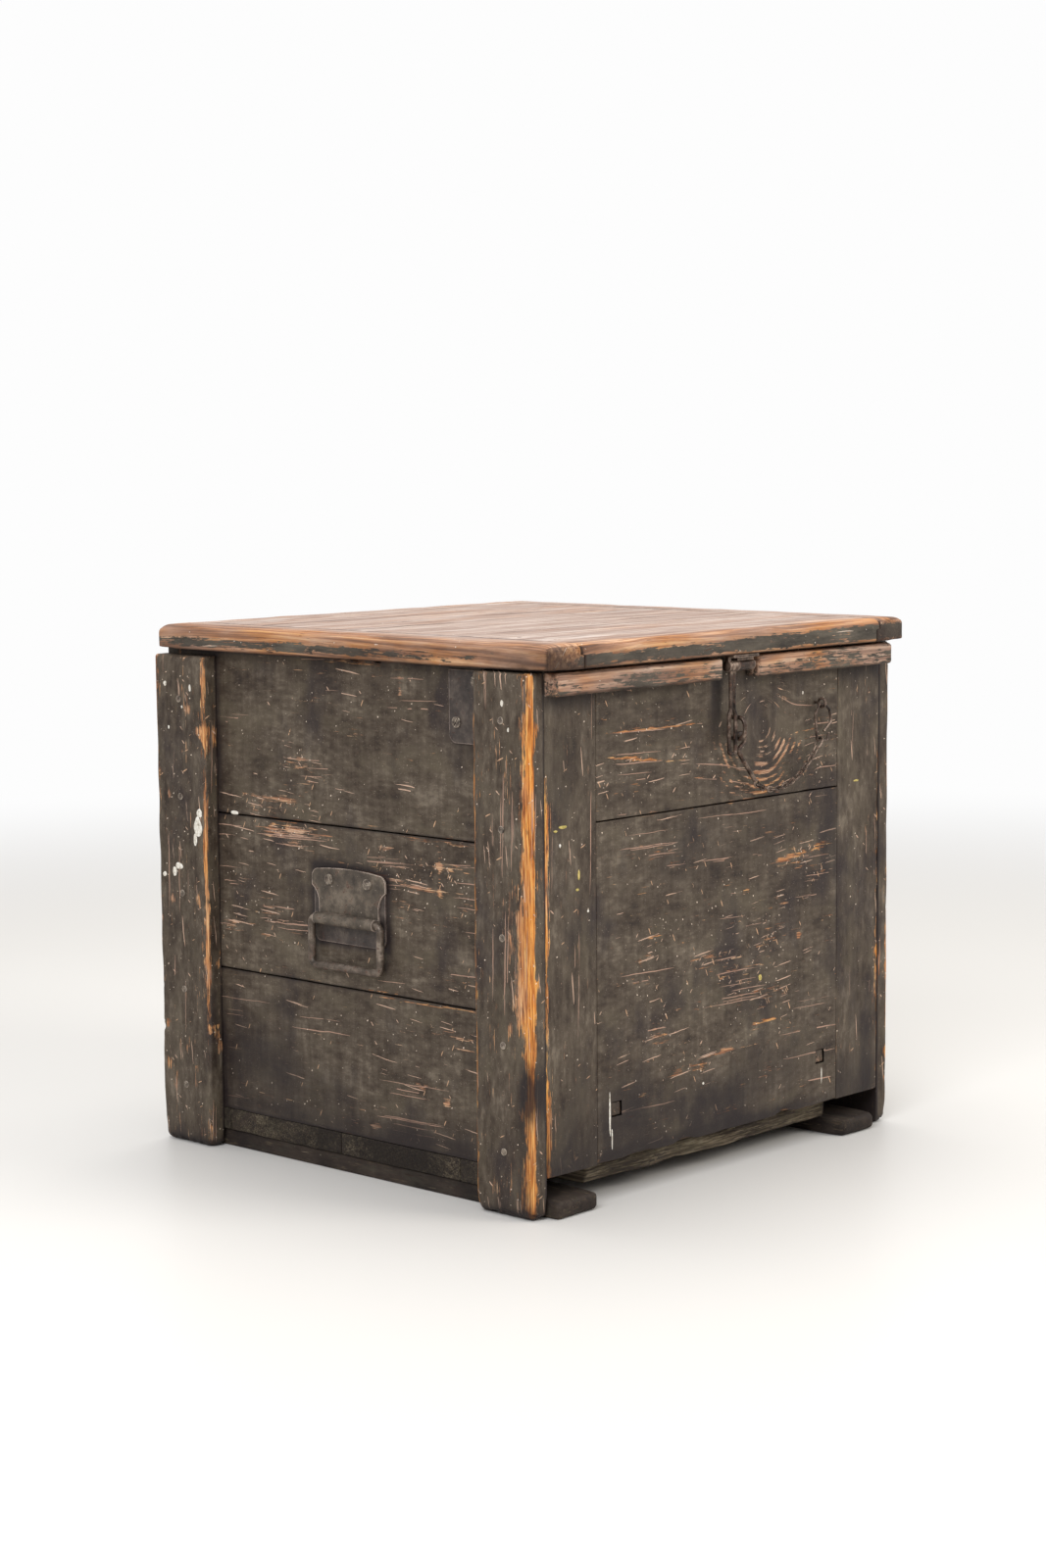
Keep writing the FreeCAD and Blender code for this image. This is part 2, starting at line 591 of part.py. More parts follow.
# Drop handle: a lower plate on the plank, a shield plate rolled round the bail, and the bail itself
def make_handles():
    rod_radius = s.handle_rod.value / 2
    sheet = s.sheet_thick.value
    axis_out = sheet + rod_radius + s.bail_play.value + s.roll_wall.value
    leg = s.bail_width.value / 2 - rod_radius
    half_back = s.back_plate_width.value / 2
    half_shield = s.shield_width.value / 2
    half_neck = s.shield_neck.value / 2
    drop = s.back_plate_drop.value
    turn = s.back_plate_round.value
    top = s.shield_top.value
    cut45 = turn * (1 - math.sqrt(0.5))
    back_points = [Vector(0, -half_back, top - turn), Vector(0, -half_back, turn - drop),
                   Vector(0, turn - half_back, -drop), Vector(0, half_back - turn, -drop),
                   Vector(0, half_back, turn - drop), Vector(0, half_back, top - turn)]
    back_arcs = {1: Vector(0, cut45 - half_back, cut45 - drop), 3: Vector(0, half_back - cut45, cut45 - drop)}
    lower = plate_from(back_points, back_arcs, sheet, 0)

    crown = s.shield_crown.value
    shoulder = s.shield_shoulder.value
    nip = (half_shield - half_neck)
    roll_outer = rod_radius + s.bail_play.value + s.roll_wall.value
    neck_top = shoulder - 2 * nip
    shield_points = [Vector(0, -half_neck, 0), Vector(0, half_neck, 0), Vector(0, half_neck, neck_top),
                     Vector(0, half_shield, shoulder), Vector(0, half_shield, top - turn),
                     Vector(0, half_shield - turn, top), Vector(0, turn - half_shield, top),
                     Vector(0, -half_shield, top - turn), Vector(0, -half_shield, shoulder),
                     Vector(0, -half_neck, neck_top)]
    bow = s.shield_bow.value
    shield_arcs = {2: Vector(0, half_neck + nip / 2 - bow, (neck_top + shoulder) / 2 + bow / 2),
                   4: Vector(0, half_shield - cut45, top - cut45), 5: Vector(0, 0, top + crown),
                   6: Vector(0, cut45 - half_shield, top - cut45),
                   8: Vector(0, -half_neck - nip / 2 + bow, (neck_top + shoulder) / 2 + bow / 2)}
    shield = plate_from(shield_points, shield_arcs, sheet, -sheet)
    roll_half = leg - s.bail_bend.value - s.roll_end_gap.value
    roll_axis = Vector(-axis_out, -roll_half, 0)
    roll = Part.makeCylinder(roll_outer, 2 * roll_half, roll_axis, axis_y)
    bore = Part.makeCylinder(rod_radius + s.bail_play.value, 2 * half_shield,
                             Vector(-axis_out, -half_shield, 0), axis_y)
    shield = shield.fuse(roll).cut(bore).removeSplitter()

    grip = s.bail_drop.value
    corners = [Vector(-axis_out, 0, 0), Vector(-axis_out, leg, 0), Vector(-axis_out, leg, -grip),
               Vector(-axis_out, 0, -grip)]
    half_loop = bent_rod(corners, s.bail_bend.value, s.handle_rod.value)
    other_half = half_loop.mirror(Vector(), axis_y)
    bail = half_loop.fuse(other_half).removeSplitter()

    seats = []
    for across in (-s.handle_screw_spread.value, s.handle_screw_spread.value):
        seats.append(Vector(-2 * sheet, across, s.handle_screw_rise.value))
    move = Vector(-side.value, case_middle_y.value + s.handle_shift.value, s.handle_height.value)
    shank = s.screw_shank.value / 2
    for seat in seats:
        bore = Part.makeCylinder(shank + s.fastener_play.value, 3 * sheet, seat, axis_x)
        lower = lower.cut(bore)
        shield = shield.cut(bore)
        drill_both_sides(left_planks, shank, s.screw_length.value, seat + move, axis_x)
    for name, shape in (("handle_plate", lower), ("handle_shield", shield), ("bail", bail)):
        left = doc.addObject("Part::Feature", f"left_{name}")
        left.Shape = shape
        place(left, -side, case_middle_y + s.handle_shift, s.handle_height)
        keep(left, f"left_{name}")
        keep(mirrored_x(f"right_{name}", left), f"right_{name}")
    return [seat + move for seat in seats]


# Steel plates at the upper front corners of the sides, each tucked against its post
def make_corner_plates():
    high = plate_top
    low = plate_top - s.corner_plate_height
    y_low = front + s.post_width
    y_high = y_low + s.corner_plate_width
    outer = -side - s.corner_plate_thick
    blank = block("corner_plate_blank", (outer, y_low, low), (-side, y_high, high))
    middle_x = -side - s.corner_plate_thick / 2
    free_corner = rounded("corner_plate_round", blank, s.corner_plate_round,
                          lambda middle, ends: near(middle.x, middle_x) and near(middle.y, y_high)
                          and near(middle.z, low))
    keep(free_corner, "left_corner_plate")
    keep(mirrored_x("right_corner_plate", free_corner), "right_corner_plate")
    inset = s.plate_screw_inset.value
    seats = [Vector(outer.value, y_high.value - inset, low.value + 2 * inset),
             Vector(outer.value, y_low.value + inset, high.value - inset)]
    shank = s.screw_shank.value / 2
    for seat in seats:
        drill_both_sides(["left_corner_plate"] + left_planks, shank, s.screw_length.value, seat, axis_x)
    return seats


def make_side_screws(handle_seats, plate_seats):
    slot_turns = (78, 12, 35, 120)
    solids = []
    for seat, turn in zip(handle_seats + plate_seats, slot_turns):
        screw = fastener(s.screw_shank.value / 2, s.screw_length.value, s.screw_head.value / 2,
                         s.screw_head_thick.value, seat, axis_x, turn)
        solids += [screw, screw.mirror(Vector(), axis_x)]
    fastener_group("side_screws", solids)


# Nails that hold the posts to the planks
def make_post_nails():
    shank = s.nail_shank.value / 2
    head = s.nail_head.value / 2
    solids = []
    sets = (("front_left_post", front + s.post_width / 2, s.front_post_drop),
            ("rear_left_post", back - s.post_width / 2, s.rear_post_drop))
    for post, y, drop in sets:
        low = s.nail_end + s.skid_height
        high = s.body_height - drop - s.nail_end
        for number in range(counts.postNails):
            level = low + (high - low) * (number / (counts.postNails - 1))
            seat = Vector(-s.box_width.value / 2, y.value, level.value)
            nail = fastener(shank, s.nail_length.value, head, s.nail_head_thick.value / 2, seat, axis_x)
            solids += [nail, nail.mirror(Vector(), axis_x)]
            drill_both_sides([post] + left_planks, shank, s.nail_length.value, seat, axis_x)
    fastener_group("post_nails", solids)



# Nails that hold the runners to the floor boards, their heads sunk in the runners
def make_skid_nails():
    shank = s.nail_shank.value / 2
    head = s.nail_head.value / 2
    solids = []
    first = inner_front + s.floor_notch + s.nail_head
    last = inner_back - s.floor_notch - s.nail_head
    boards = ["front_floor_board", "second_floor_board", "third_floor_board", "rear_floor_board"]
    recess = 2 * s.nail_head_thick.value
    for skid, x_low in skid_places().items():
        x = float(x_low + s.skid_width / 2)
        for number in range(counts.skidNails):
            y = float(first + (last - first) * (number / (counts.skidNails - 1)))
            seat = Vector(x, y, recess)
            solids.append(fastener(shank, s.nail_length.value, head, s.nail_head_thick.value, seat, axis_z))
            drill([skid] + boards, shank, s.nail_length.value, seat, axis_z)
            drill([skid], head, recess, Vector(x, y, 0), axis_z)
    fastener_group("skid_nails", solids)


# Lid hinges: a leaf on the back panel, a leaf on the lid's back edge, and a pin through their knuckles
def make_hinges():
    radius = s.barrel_d.value / 2
    pin_radius = s.hinge_pin.value / 2
    width = s.hinge_width.value
    leaf = s.leaf_thick.value
    pitch = width / counts.knuckles
    gap = s.knuckle_gap.value
    clear = s.leaf_clear.value
    seat_y = -radius - s.barrel_gap.value
    bore = Part.makeCylinder(pin_radius + s.hinge_play.value, 2 * width, Vector(-width, 0, 0), axis_x)
    lower_corner = Vector(-width / 2, seat_y, -clear - s.lower_leaf.value)
    leaves = {"lower": Part.makeBox(width, leaf, s.lower_leaf.value, lower_corner),
              "upper": Part.makeBox(width, leaf, s.upper_leaf.value - clear, Vector(-width / 2, seat_y, clear))}
    for number in range(counts.knuckles):
        name = "lower" if number % 2 == 0 else "upper"
        low = -width / 2 + number * pitch + gap / 2
        knuckle = Part.makeCylinder(radius, pitch - gap, Vector(low, 0, 0), axis_x)
        arm_low = -clear if name == "lower" else 0
        arm = Part.makeBox(pitch - gap, leaf, clear, Vector(low, seat_y, arm_low))
        leaves[name] = leaves[name].fuse(knuckle).fuse(arm)
    head = s.bracket_screw_head.value / 2
    shank = s.bracket_screw.value / 2
    axis_point = Vector(0, hinge_y.value, s.body_height.value)
    screws = {"lower": [], "upper": []}
    spread = s.leaf_screw_spread.value
    levels = {"lower": (-clear - s.leaf_screw_first.value, -clear - s.leaf_screw_second.value),
              "upper": (clear + s.leaf_screw_rise.value,)}
    targets = {"lower": ["back_upper_board", "back_left_stile", "back_right_stile"],
               "upper": ["rear_lid_board", "left_lid_cleat", "right_lid_cleat"]}
    for name in leaves:
        leaves[name] = leaves[name].cut(bore)
        spots = [(across, level) for level in levels[name] for across in (-spread, spread)]
        for across, level in spots:
            seat = Vector(across, seat_y + leaf, level)
            hole = Part.makeCylinder(shank + s.fastener_play.value, 2 * leaf, seat, -axis_y)
            leaves[name] = leaves[name].cut(hole)
            for middle in (-hinge_x.value, hinge_x.value):
                world = seat + axis_point + Vector(middle, 0, 0)
                screws[name].append(fastener(shank, s.screw_length.value, head, leaf / 2, world, -axis_y,
                                             across + middle))
                drill(targets[name], shank, s.screw_length.value, world, -axis_y)
        for label, middle in (("left", -hinge_x), ("right", hinge_x)):
            part = doc.addObject("Part::Feature", f"{label}_hinge_{name}_leaf")
            part.Shape = leaves[name].removeSplitter()
            place(part, middle, hinge_y, s.body_height)
            keep(part, f"{label}_hinge_{name}_leaf")
    fastener_group("hinge_screws", screws["lower"])
    pins = [rod(f"{label}_hinge_pin", s.hinge_pin / 2, s.hinge_width,
                (middle - s.hinge_width / 2, hinge_y, s.body_height), axis_x)
            for label, middle in (("left", -hinge_x), ("right", hinge_x))]
    group = doc.addObject("Part::Compound", "hinge_pins")
    group.Links = pins
    keep(group, "hinge_pins")
    return screws["upper"]


# Latch bracket on the lid's underside, with the pin that the hasp swings on
def make_bracket():
    middle = s.hasp_middle
    y_axis = front - s.hasp_reach
    z_axis = s.body_height - s.hasp_drop
    x_low = middle - s.bracket_left
    x_high = middle + s.bracket_right
    plate = block("bracket_plate", (x_low, y_axis - s.bracket_depth / 2, s.body_height - s.bracket_thick),
                  (x_high, y_axis + s.bracket_depth / 2, s.body_height))
    half_eye = s.hasp_eye_width / 2 + s.knuckle_gap
    parts = [plate, rod("bracket_pin", s.hasp_pin / 2, s.bracket_left + s.bracket_right,
                        (x_low, y_axis, z_axis), axis_x)]
    for label, low, high in (("left", x_low, middle - half_eye), ("right", middle + half_eye, x_high)):
        parts.append(rod(f"bracket_{label}_knuckle", s.bracket_knuckle / 2, high - low,
                         (low, y_axis, z_axis), axis_x))
        parts.append(block(f"bracket_{label}_web", (low, y_axis - s.bracket_web / 2, z_axis),
                           (high, y_axis + s.bracket_web / 2, s.body_height - s.bracket_thick / 2)))
    keep(fuse("hasp_bracket", *parts), "hasp_bracket")
    shank = s.bracket_screw.value / 2
    head = s.bracket_screw_head.value / 2
    inset = s.bracket_screw_head.value
    y_screw = float(y_axis + s.bracket_web / 2) + head + s.fastener_play.value
    solids = []
    for x in (x_low.value + inset, x_high.value - inset):
        seat = Vector(x, y_screw, float(s.body_height - s.bracket_thick))
        solids.append(fastener(shank, s.screw_length.value, head, s.leaf_thick.value / 2, seat, axis_z, x))
        drill(["hasp_bracket", "front_lid_board"], shank, s.screw_length.value, seat, axis_z)
    return solids


# Hasp: an eye on the bracket's pin and one rod bent down into a long loop
def make_hasp():
    length = s.hasp_length.value
    neck = s.hasp_neck.value / 2
    half_loop = s.hasp_loop.value / 2
    start_z = -s.hasp_pin.value / 2 - s.hasp_play.value - s.hasp_rod.value / 4
    loop_top = s.hasp_loop_height.value - length
    width = s.hasp_eye_width.value
    eye = Part.makeCylinder(s.hasp_eye.value / 2, width, Vector(-width / 2, 0, 0), axis_x)
    run = [Vector(neck, 0, start_z), Vector(neck, 0, loop_top), Vector(half_loop, 0, loop_top - half_loop),
           Vector(half_loop, 0, -length), Vector(0, 0, -length)]
    right = bent_rod(run, s.hasp_bend.value, s.hasp_rod.value)
    left = right.mirror(Vector(), axis_x)
    bore = Part.makeCylinder(s.hasp_pin.value / 2 + s.hasp_play.value, 2 * width, Vector(-width, 0, 0), axis_x)
    hasp = doc.addObject("Part::Feature", "hasp")
    hasp.Shape = eye.fuse([right, left]).cut(bore).removeSplitter()
    place(hasp, s.hasp_middle, front - s.hasp_reach, s.body_height - s.hasp_drop)
    keep(hasp, "hasp")


# Staple: a round wire bent square, its two legs driven into the front panel
def make_staple():
    reach = -s.staple_reach.value
    bite = s.staple_bite.value
    half = s.staple_span.value / 2
    points = [Vector(0, bite, half), Vector(0, reach, half), Vector(0, reach, -half), Vector(0, bite, -half)]
    staple = doc.addObject("Part::Feature", "staple")
    staple.Shape = bent_rod(points, s.staple_bend.value, s.staple_wire.value)
    place(staple, s.staple_across, front, staple_z)
    keep(staple, "staple")
    for sign in (1, -1):
        seat = Vector(s.staple_across.value, front.value, staple_z.value + sign * half)
        drill(panel_front, s.staple_wire.value / 2, bite, seat, axis_y)


def pin_points():
    """The locking pin's bends, from its tip in the staple to its ring, across and up."""
    across = s.staple_across.value
    level = float(staple_lower + s.staple_wire / 2 + s.pin_rod / 2 + s.pin_rest)
    right = across + s.pin_out.value
    lower = Vector(across - s.pin_back.value, 0, level - s.pin_fall.value)
    return [Vector(across - s.pin_tip.value, 0, level), Vector(right, 0, level),
            Vector(right - s.pin_back.value, 0, level - s.pin_neck.value), lower,
            lower + Vector(s.pin_run.value, 0, -s.pin_drop.value)]


def ring_middle(points):
    heading = (points[-1] - points[-2]).normalize()
    return points[-1] + heading * s.pin_ring.value


# Locking pin: a bent rod that hangs in the staple, with a ring for its chain
def make_pin():
    points = pin_points()
    shaft = bent_rod(points, s.pin_bend.value, s.pin_rod.value)
    ring = Part.makeTorus(s.pin_ring.value, s.pin_ring_wire.value / 2, ring_middle(points), axis_y)
    pin = doc.addObject("Part::Feature", "lock_pin")
    pin.Shape = shaft.cut(Part.makeCylinder(s.pin_ring.value - s.pin_ring_wire.value / 2, 2 * s.pin_rod.value,
                                            ring_middle(points) - axis_y * s.pin_rod.value, axis_y)).fuse(ring)
    place(pin, zero, front - s.latch_reach, zero)
    keep(pin, "lock_pin")


def chain_link(length, width):
    """One oval link, long along X, its plane in XY."""
    wire = s.chain_wire.value
    bend = (width - wire) / 2
    half_run = (length - width) / 2
    path = Part.Wire([Part.LineSegment(Vector(0, -bend, 0), Vector(half_run, -bend, 0)).toShape(),
                      Part.Arc(Vector(half_run, -bend, 0), Vector(half_run + bend, 0, 0),
                               Vector(half_run, bend, 0)).toShape(),
                      Part.LineSegment(Vector(half_run, bend, 0), Vector(0, bend, 0)).toShape()])
    profile = Part.Wire([Part.Circle(Vector(0, -bend, 0), axis_x, wire / 2).toShape()])
    half = path.makePipeShell([profile], True, False)
    return half.fuse(half.mirror(Vector(), axis_x)).removeSplitter()


def catenary(low, high, length):
    """The sag parameter, lowest place and level of a chain of this length between two points."""
    run = high.x - low.x
    rise = high.z - low.z
    slack = math.sqrt(length ** 2 - rise ** 2)
    small, large = run / 50, run * 50
    for _ in range(80):
        sag = math.sqrt(small * large)
        if 2 * sag * math.sinh(run / (2 * sag)) > slack:
            small = sag
        else:
            large = sag
    place_low = low.x + run / 2 - sag * math.atanh(rise / length)
    level = low.z - sag * math.cosh((low.x - place_low) / sag)
    return sag, place_low, level


def hook_bottom():
    return eye_z - s.eye_ring + s.eye_wire / 2 + s.hook_wire / 2 + s.chain_play - s.hook_height


# Chain of oval links from the pin's ring to the hook, hanging in its own curve
def make_chain():
    wire = s.chain_wire.value
    reach = (s.chain_link.value - wire) / 2
    end_reach = (s.end_link.value - wire) / 2
    slack = wire + s.chain_play.value
    ring_out = Vector(1, 0, -1).normalize() * s.pin_ring.value
    start = ring_middle(pin_points()) + ring_out
    stop = Vector((s.eye_across - s.hook_seat).value, 0, hook_bottom().value)
    steps = [reach - (wire + s.pin_ring_wire.value) / 2 - s.ring_play.value]
    steps += [2 * reach - slack] * (counts.links - 2)
    steps.append(reach + end_reach - slack)
    last = end_reach - (wire + s.hook_wire.value) / 2 - s.end_play.value
    sag, place_low, level = catenary(start, stop, sum(steps) + last)
    print(f"chain of {counts.links} links, {sum(steps) + last:.1f} mm, lowest {level + sag:.1f}")
    along = sag * math.sinh((start.x - place_low) / sag)
    solids = []
    for number, step in enumerate(steps, 1):
        along += step
        x = place_low + sag * math.asinh(along / sag)
        middle = Vector(x, 0, level + sag * math.cosh((x - place_low) / sag))
        slope = math.degrees(math.atan(along / sag))
        if number == counts.links:
            solid = chain_link(s.end_link.value, s.end_link_width.value)
        else:
            solid = chain_link(s.chain_link.value, s.chain_link_width.value)
        quarter_turn = 90 if (counts.links - number) % 2 else 0
        turn = FreeCAD.Rotation(axis_y, -slope).multiply(FreeCAD.Rotation(axis_x, quarter_turn))
        solid.Placement = FreeCAD.Placement(middle, turn)
        solids.append(solid)
    chain = doc.addObject("Part::Feature", "pin_chain")
    chain.Shape = Part.makeCompound(solids)
    place(chain, zero, front - s.latch_reach, zero)
    keep(chain, "pin_chain")


# Screw eye in the front panel and the bent wire hook that joins it to the chain
def make_chain_anchor():
    wire = s.eye_wire.value
    ring = Part.makeTorus(s.eye_ring.value, wire / 2, Vector(0, -s.latch_reach.value, 0), axis_x)
    shank_start = s.eye_ring.value - s.latch_reach.value
    shank = Part.makeCylinder(wire / 2, s.eye_bite.value - shank_start, Vector(0, shank_start, 0), axis_y)
    eye = doc.addObject("Part::Feature", "screw_eye")
    eye.Shape = ring.fuse(shank)
    place(eye, s.eye_across, front, eye_z)
    keep(eye, "screw_eye")
    seat = Vector(s.eye_across.value, front.value, eye_z.value)
    drill(panel_front, wire / 2, s.eye_bite.value, seat, axis_y)

    rise = s.hook_height.value
    left = -s.hook_left.value
    right = s.hook_right.value
    bulge = s.hook_bulge.value
    points = [Vector(right / 3, 0, rise / 4), Vector(bulge, 0, rise / 2),
              Vector(bulge - rise / 12, 0, rise * 5 / 6),
              Vector(right / 2, 0, rise), Vector(left / 2, 0, rise), Vector(left * 3 / 2, 0, rise * 3 / 4),
              Vector(left, 0, 0), Vector(right, 0, 0), Vector(right * 7 / 6, 0, rise / 5)]
    hook = doc.addObject("Part::Feature", "chain_hook")
    hook.Shape = bent_rod(points, s.hook_bend.value, s.hook_wire.value)
    place(hook, s.eye_across, front - s.latch_reach, hook_bottom())
    keep(hook, "chain_hook")


def drill_all():
    """Cut the fasteners' holes out of the pieces that hold them."""
    doc.recompute()
    for name, holes in drillings.items():
        touching = [hole for hole in holes if pieces[name].Shape.common(hole).Volume > 0.001]
        if touching:
            tool = doc.addObject("Part::Feature", f"{name}_drill")
            tool.Shape = Part.makeCompound(touching)
            keep(cut(f"{name}_drilled", pieces[name], tool), name)


make_posts()
make_side_planks()
make_panel("front", front, inner_front)
make_panel("back", inner_back, back)
make_pegs()
make_floor()
make_skids()
make_lid()
make_ledges()
handle_seats = make_handles()
plate_seats = make_corner_plates()
make_side_screws(handle_seats, plate_seats)
make_post_nails()
make_skid_nails()
upper_hinge_screws = make_hinges()
bracket_screws = make_bracket()
fastener_group("lid_screws", upper_hinge_screws + bracket_screws)
make_hasp()
make_staple()
make_pin()
make_chain_anchor()
make_chain()
drill_all()

doc.recompute()
for obj in doc.Objects:
    if "Invalid" in obj.State or "Error" in obj.State:
        raise RuntimeError(f"{obj.Label} failed: {obj.State}")
for name, obj in pieces.items():
    shape = obj.Shape
    if shape.isNull() or not shape.isValid() or not shape.Solids:
        raise RuntimeError(f"{name} has no valid solid")
for name, obj in pieces.items():
    obj.Shape.exportStep(f"parts/{name}.step")
print(f"{len(pieces)} pieces written")
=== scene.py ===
import json
import math
from functools import partial
import bpy
import numpy as np
from mathutils import Matrix, Vector


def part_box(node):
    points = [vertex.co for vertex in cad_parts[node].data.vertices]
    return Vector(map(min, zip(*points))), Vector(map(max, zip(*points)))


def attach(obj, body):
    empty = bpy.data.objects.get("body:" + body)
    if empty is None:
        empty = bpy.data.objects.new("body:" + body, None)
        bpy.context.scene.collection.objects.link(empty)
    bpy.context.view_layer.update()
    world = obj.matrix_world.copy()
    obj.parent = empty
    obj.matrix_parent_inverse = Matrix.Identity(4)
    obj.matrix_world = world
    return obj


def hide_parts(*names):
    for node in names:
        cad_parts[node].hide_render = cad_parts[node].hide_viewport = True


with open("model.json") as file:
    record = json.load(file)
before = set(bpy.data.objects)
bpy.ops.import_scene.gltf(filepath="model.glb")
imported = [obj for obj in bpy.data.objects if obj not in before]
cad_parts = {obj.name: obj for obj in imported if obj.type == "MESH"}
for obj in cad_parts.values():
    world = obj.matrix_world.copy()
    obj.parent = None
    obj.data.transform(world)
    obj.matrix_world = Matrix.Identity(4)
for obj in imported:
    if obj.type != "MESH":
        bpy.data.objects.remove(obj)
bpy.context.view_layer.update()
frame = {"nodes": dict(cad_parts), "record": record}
mm = 0.001
nodes = frame["nodes"]
bodies = frame["record"]["behaviour"]["bodies"]
bodyOf = {node: body for body, members in bodies.items() for node in members}
print("frame loaded:", len(nodes), "nodes")


# Small tools for numbers and nodes
def hexColour(text):  # sRGB to linear
    values = [int(text[i:i + 2], 16) / 255 for i in (1, 3, 5)]
    return tuple(v / 12.92 if v <= 0.04045 else ((v + 0.055) / 1.055) ** 2.4 for v in values) + (1.0,)


mainSetting = {"Math": "operation", "VectorMath": "operation", "Mix": "data_type",
               "Attribute": "attribute_name", "VectorRotate": "rotation_type",
               "TexVoronoi": "voronoi_dimensions", "MapRange": "interpolation_type"}


# kind and main setting, then what goes into its open sockets in their order, then the rest by name;
# a node or a socket is linked, a hex text is a colour, and stops are those of a colour ramp
def addNode(tree, kind, *inputs, **settings):
    kind, *choice = kind.split()
    node = tree.nodes.new("ShaderNode" + kind)
    if choice:
        setattr(node, mainSetting[kind], choice[0])
    sockets = [socket for socket in node.inputs if socket.enabled]
    byName = {socket.name: socket for socket in sockets}
    values = list(zip(sockets, inputs))
    for key, value in settings.items():
        if key == "stops":
            ramp = node.color_ramp.elements
            while len(ramp) < len(value):
                ramp.new(1.0)
            for stop, (position, colour) in zip(ramp, value):
                stop.position = position
                stop.color = hexColour(colour)
        elif key in byName:
            values.append((byName[key], value))
        else:
            setattr(node, key, value)
    for socket, value in values:
        if isinstance(value, bpy.types.Node):
            value = next(output for output in value.outputs if output.enabled)
        if isinstance(value, bpy.types.NodeSocket):
            tree.links.new(value, socket)
        else:
            socket.default_value = hexColour(value) if isinstance(value, str) else value
    return node


def emptyTree(owner):  # clears the nodes of a material or the world, and gives the call that adds to them
    owner.use_nodes = True
    owner.node_tree.nodes.clear()
    return partial(addNode, owner.node_tree)


def latticeNoise(points, size, seed=0):  # smooth, 0 to 1; size in mm of its features, one or a size per axis
    scaled = np.asarray(points, float) / size + seed * 17.31
    low = np.floor(scaled)
    part = scaled - low
    part = part * part * (3 - 2 * part)
    low = low.astype(np.int64)
    total = np.zeros(len(scaled))
    for corner in range(8):
        step = np.array([corner & 1, corner >> 1 & 1, corner >> 2 & 1])
        key = ((low + step) * np.array([73856093, 19349663, 83492791])).sum(1) + seed * 7919
        key = (key ^ key >> 13) * 1274126177
        key = (key ^ key >> 16) & 0xFFFF
        total += np.prod(np.where(step, part, 1 - part), axis=1) * key / 0xFFFF
    return total


def ease(values, low, high):  # 0 below low, 1 above high, smooth between
    part = np.clip((values - low) / (high - low), 0, 1)
    return part * part * (3 - 2 * part)


def bell(values, middle, width):
    return np.exp(-((values - middle) / width) ** 2)


def spots(first, second, marks):  # soft marks: place, reach and strength of each, and its slope if it has one
    total = 0 * first
    for a, b, reachA, reachB, strength, *slope in marks:
        level = b + (slope[0] if slope else 0) * (first - a)
        total += strength * np.exp(-((first - a) / reachA) ** 4 - ((second - level) / reachB) ** 2)
    return total


# Mesh tools: every board is a closed lattice of quads, in millimetres
softEnds = np.array([0, 0.3, 0.8, 2.2])
wornEnds = np.array([0, 0.5, 1.3, 2.4, 3.8, 5.6, 8, 11])


def latticeLines(low, high, cell, ends, extra=()):
    ends = ends[ends < (high - low) * 0.42]
    reach = ends[-1]
    count = max(2, round((high - low - 2 * reach) / cell))
    middle = np.linspace(low + reach, high - reach, count + 1)
    lines = np.concatenate([low + ends, middle, high - ends, np.asarray(extra, float)])
    return np.unique(lines.round(4))


def boxSurface(xs, ys, zs, windows=()):
    for x0, x1, z0, z1 in windows:
        xs = np.unique(np.concatenate([xs[(xs <= x0) | (xs >= x1)], [x0, x1]]))
        zs = np.unique(np.concatenate([zs[(zs <= z0) | (zs >= z1)], [z0, z1]]))
    count = (len(xs), len(ys), len(zs))
    onSurface = np.zeros(count, bool)
    onSurface[[0, -1]] = True
    onSurface[:, [0, -1]] = True
    onSurface[:, :, [0, -1]] = True
    number = np.full(count, -1)
    number[onSurface] = np.arange(onSurface.sum())
    points = np.stack(np.meshgrid(xs, ys, zs, indexing="ij"), -1)[onSurface]
    rings = []
    for axis in range(3):
        for end in (0, -1):
            side = np.take(number, end, axis)
            ring = np.stack([side[:-1, :-1], side[1:, :-1], side[1:, 1:], side[:-1, 1:]], -1).reshape(-1, 4)
            if axis == 1:
                x, _, z = points[ring].mean(1).T
                for x0, x1, z0, z1 in windows:
                    solid = (x < x0) | (x > x1) | (z < z0) | (z > z1)
                    ring, x, z = ring[solid], x[solid], z[solid]
            rings.append(ring[:, ::-1] if (end == 0) != (axis == 1) else ring)
    for x0, x1, z0, z1 in windows:  # the walls of a hole through the board
        i0, i1 = np.searchsorted(xs, (x0, x1))
        k0, k1 = np.searchsorted(zs, (z0, z1))
        corners = [(i0, k0), (i1, k0), (i1, k1), (i0, k1)]
        for (ia, ka), (ib, kb) in zip(corners, corners[1:] + corners[:1]):
            rings.append(number[[[ia, ia, ib, ib]], [[0, -1, -1, 0]], [[ka, ka, kb, kb]]])
    return points, np.concatenate(rings)


def roundBox(points, low, high, radius):
    radius = np.minimum(radius, (high - low) * 0.49)
    inner = np.clip(points, low + radius, high - radius)
    unit = (points - inner) / radius
    longest = np.abs(unit).max(1, keepdims=True)
    length = np.linalg.norm(unit, axis=1, keepdims=True)
    return inner + unit * radius * longest / np.maximum(length, 1e-9)


def boxOf(node):
    low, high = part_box(node)
    return np.array(low) / mm, np.array(high) / mm


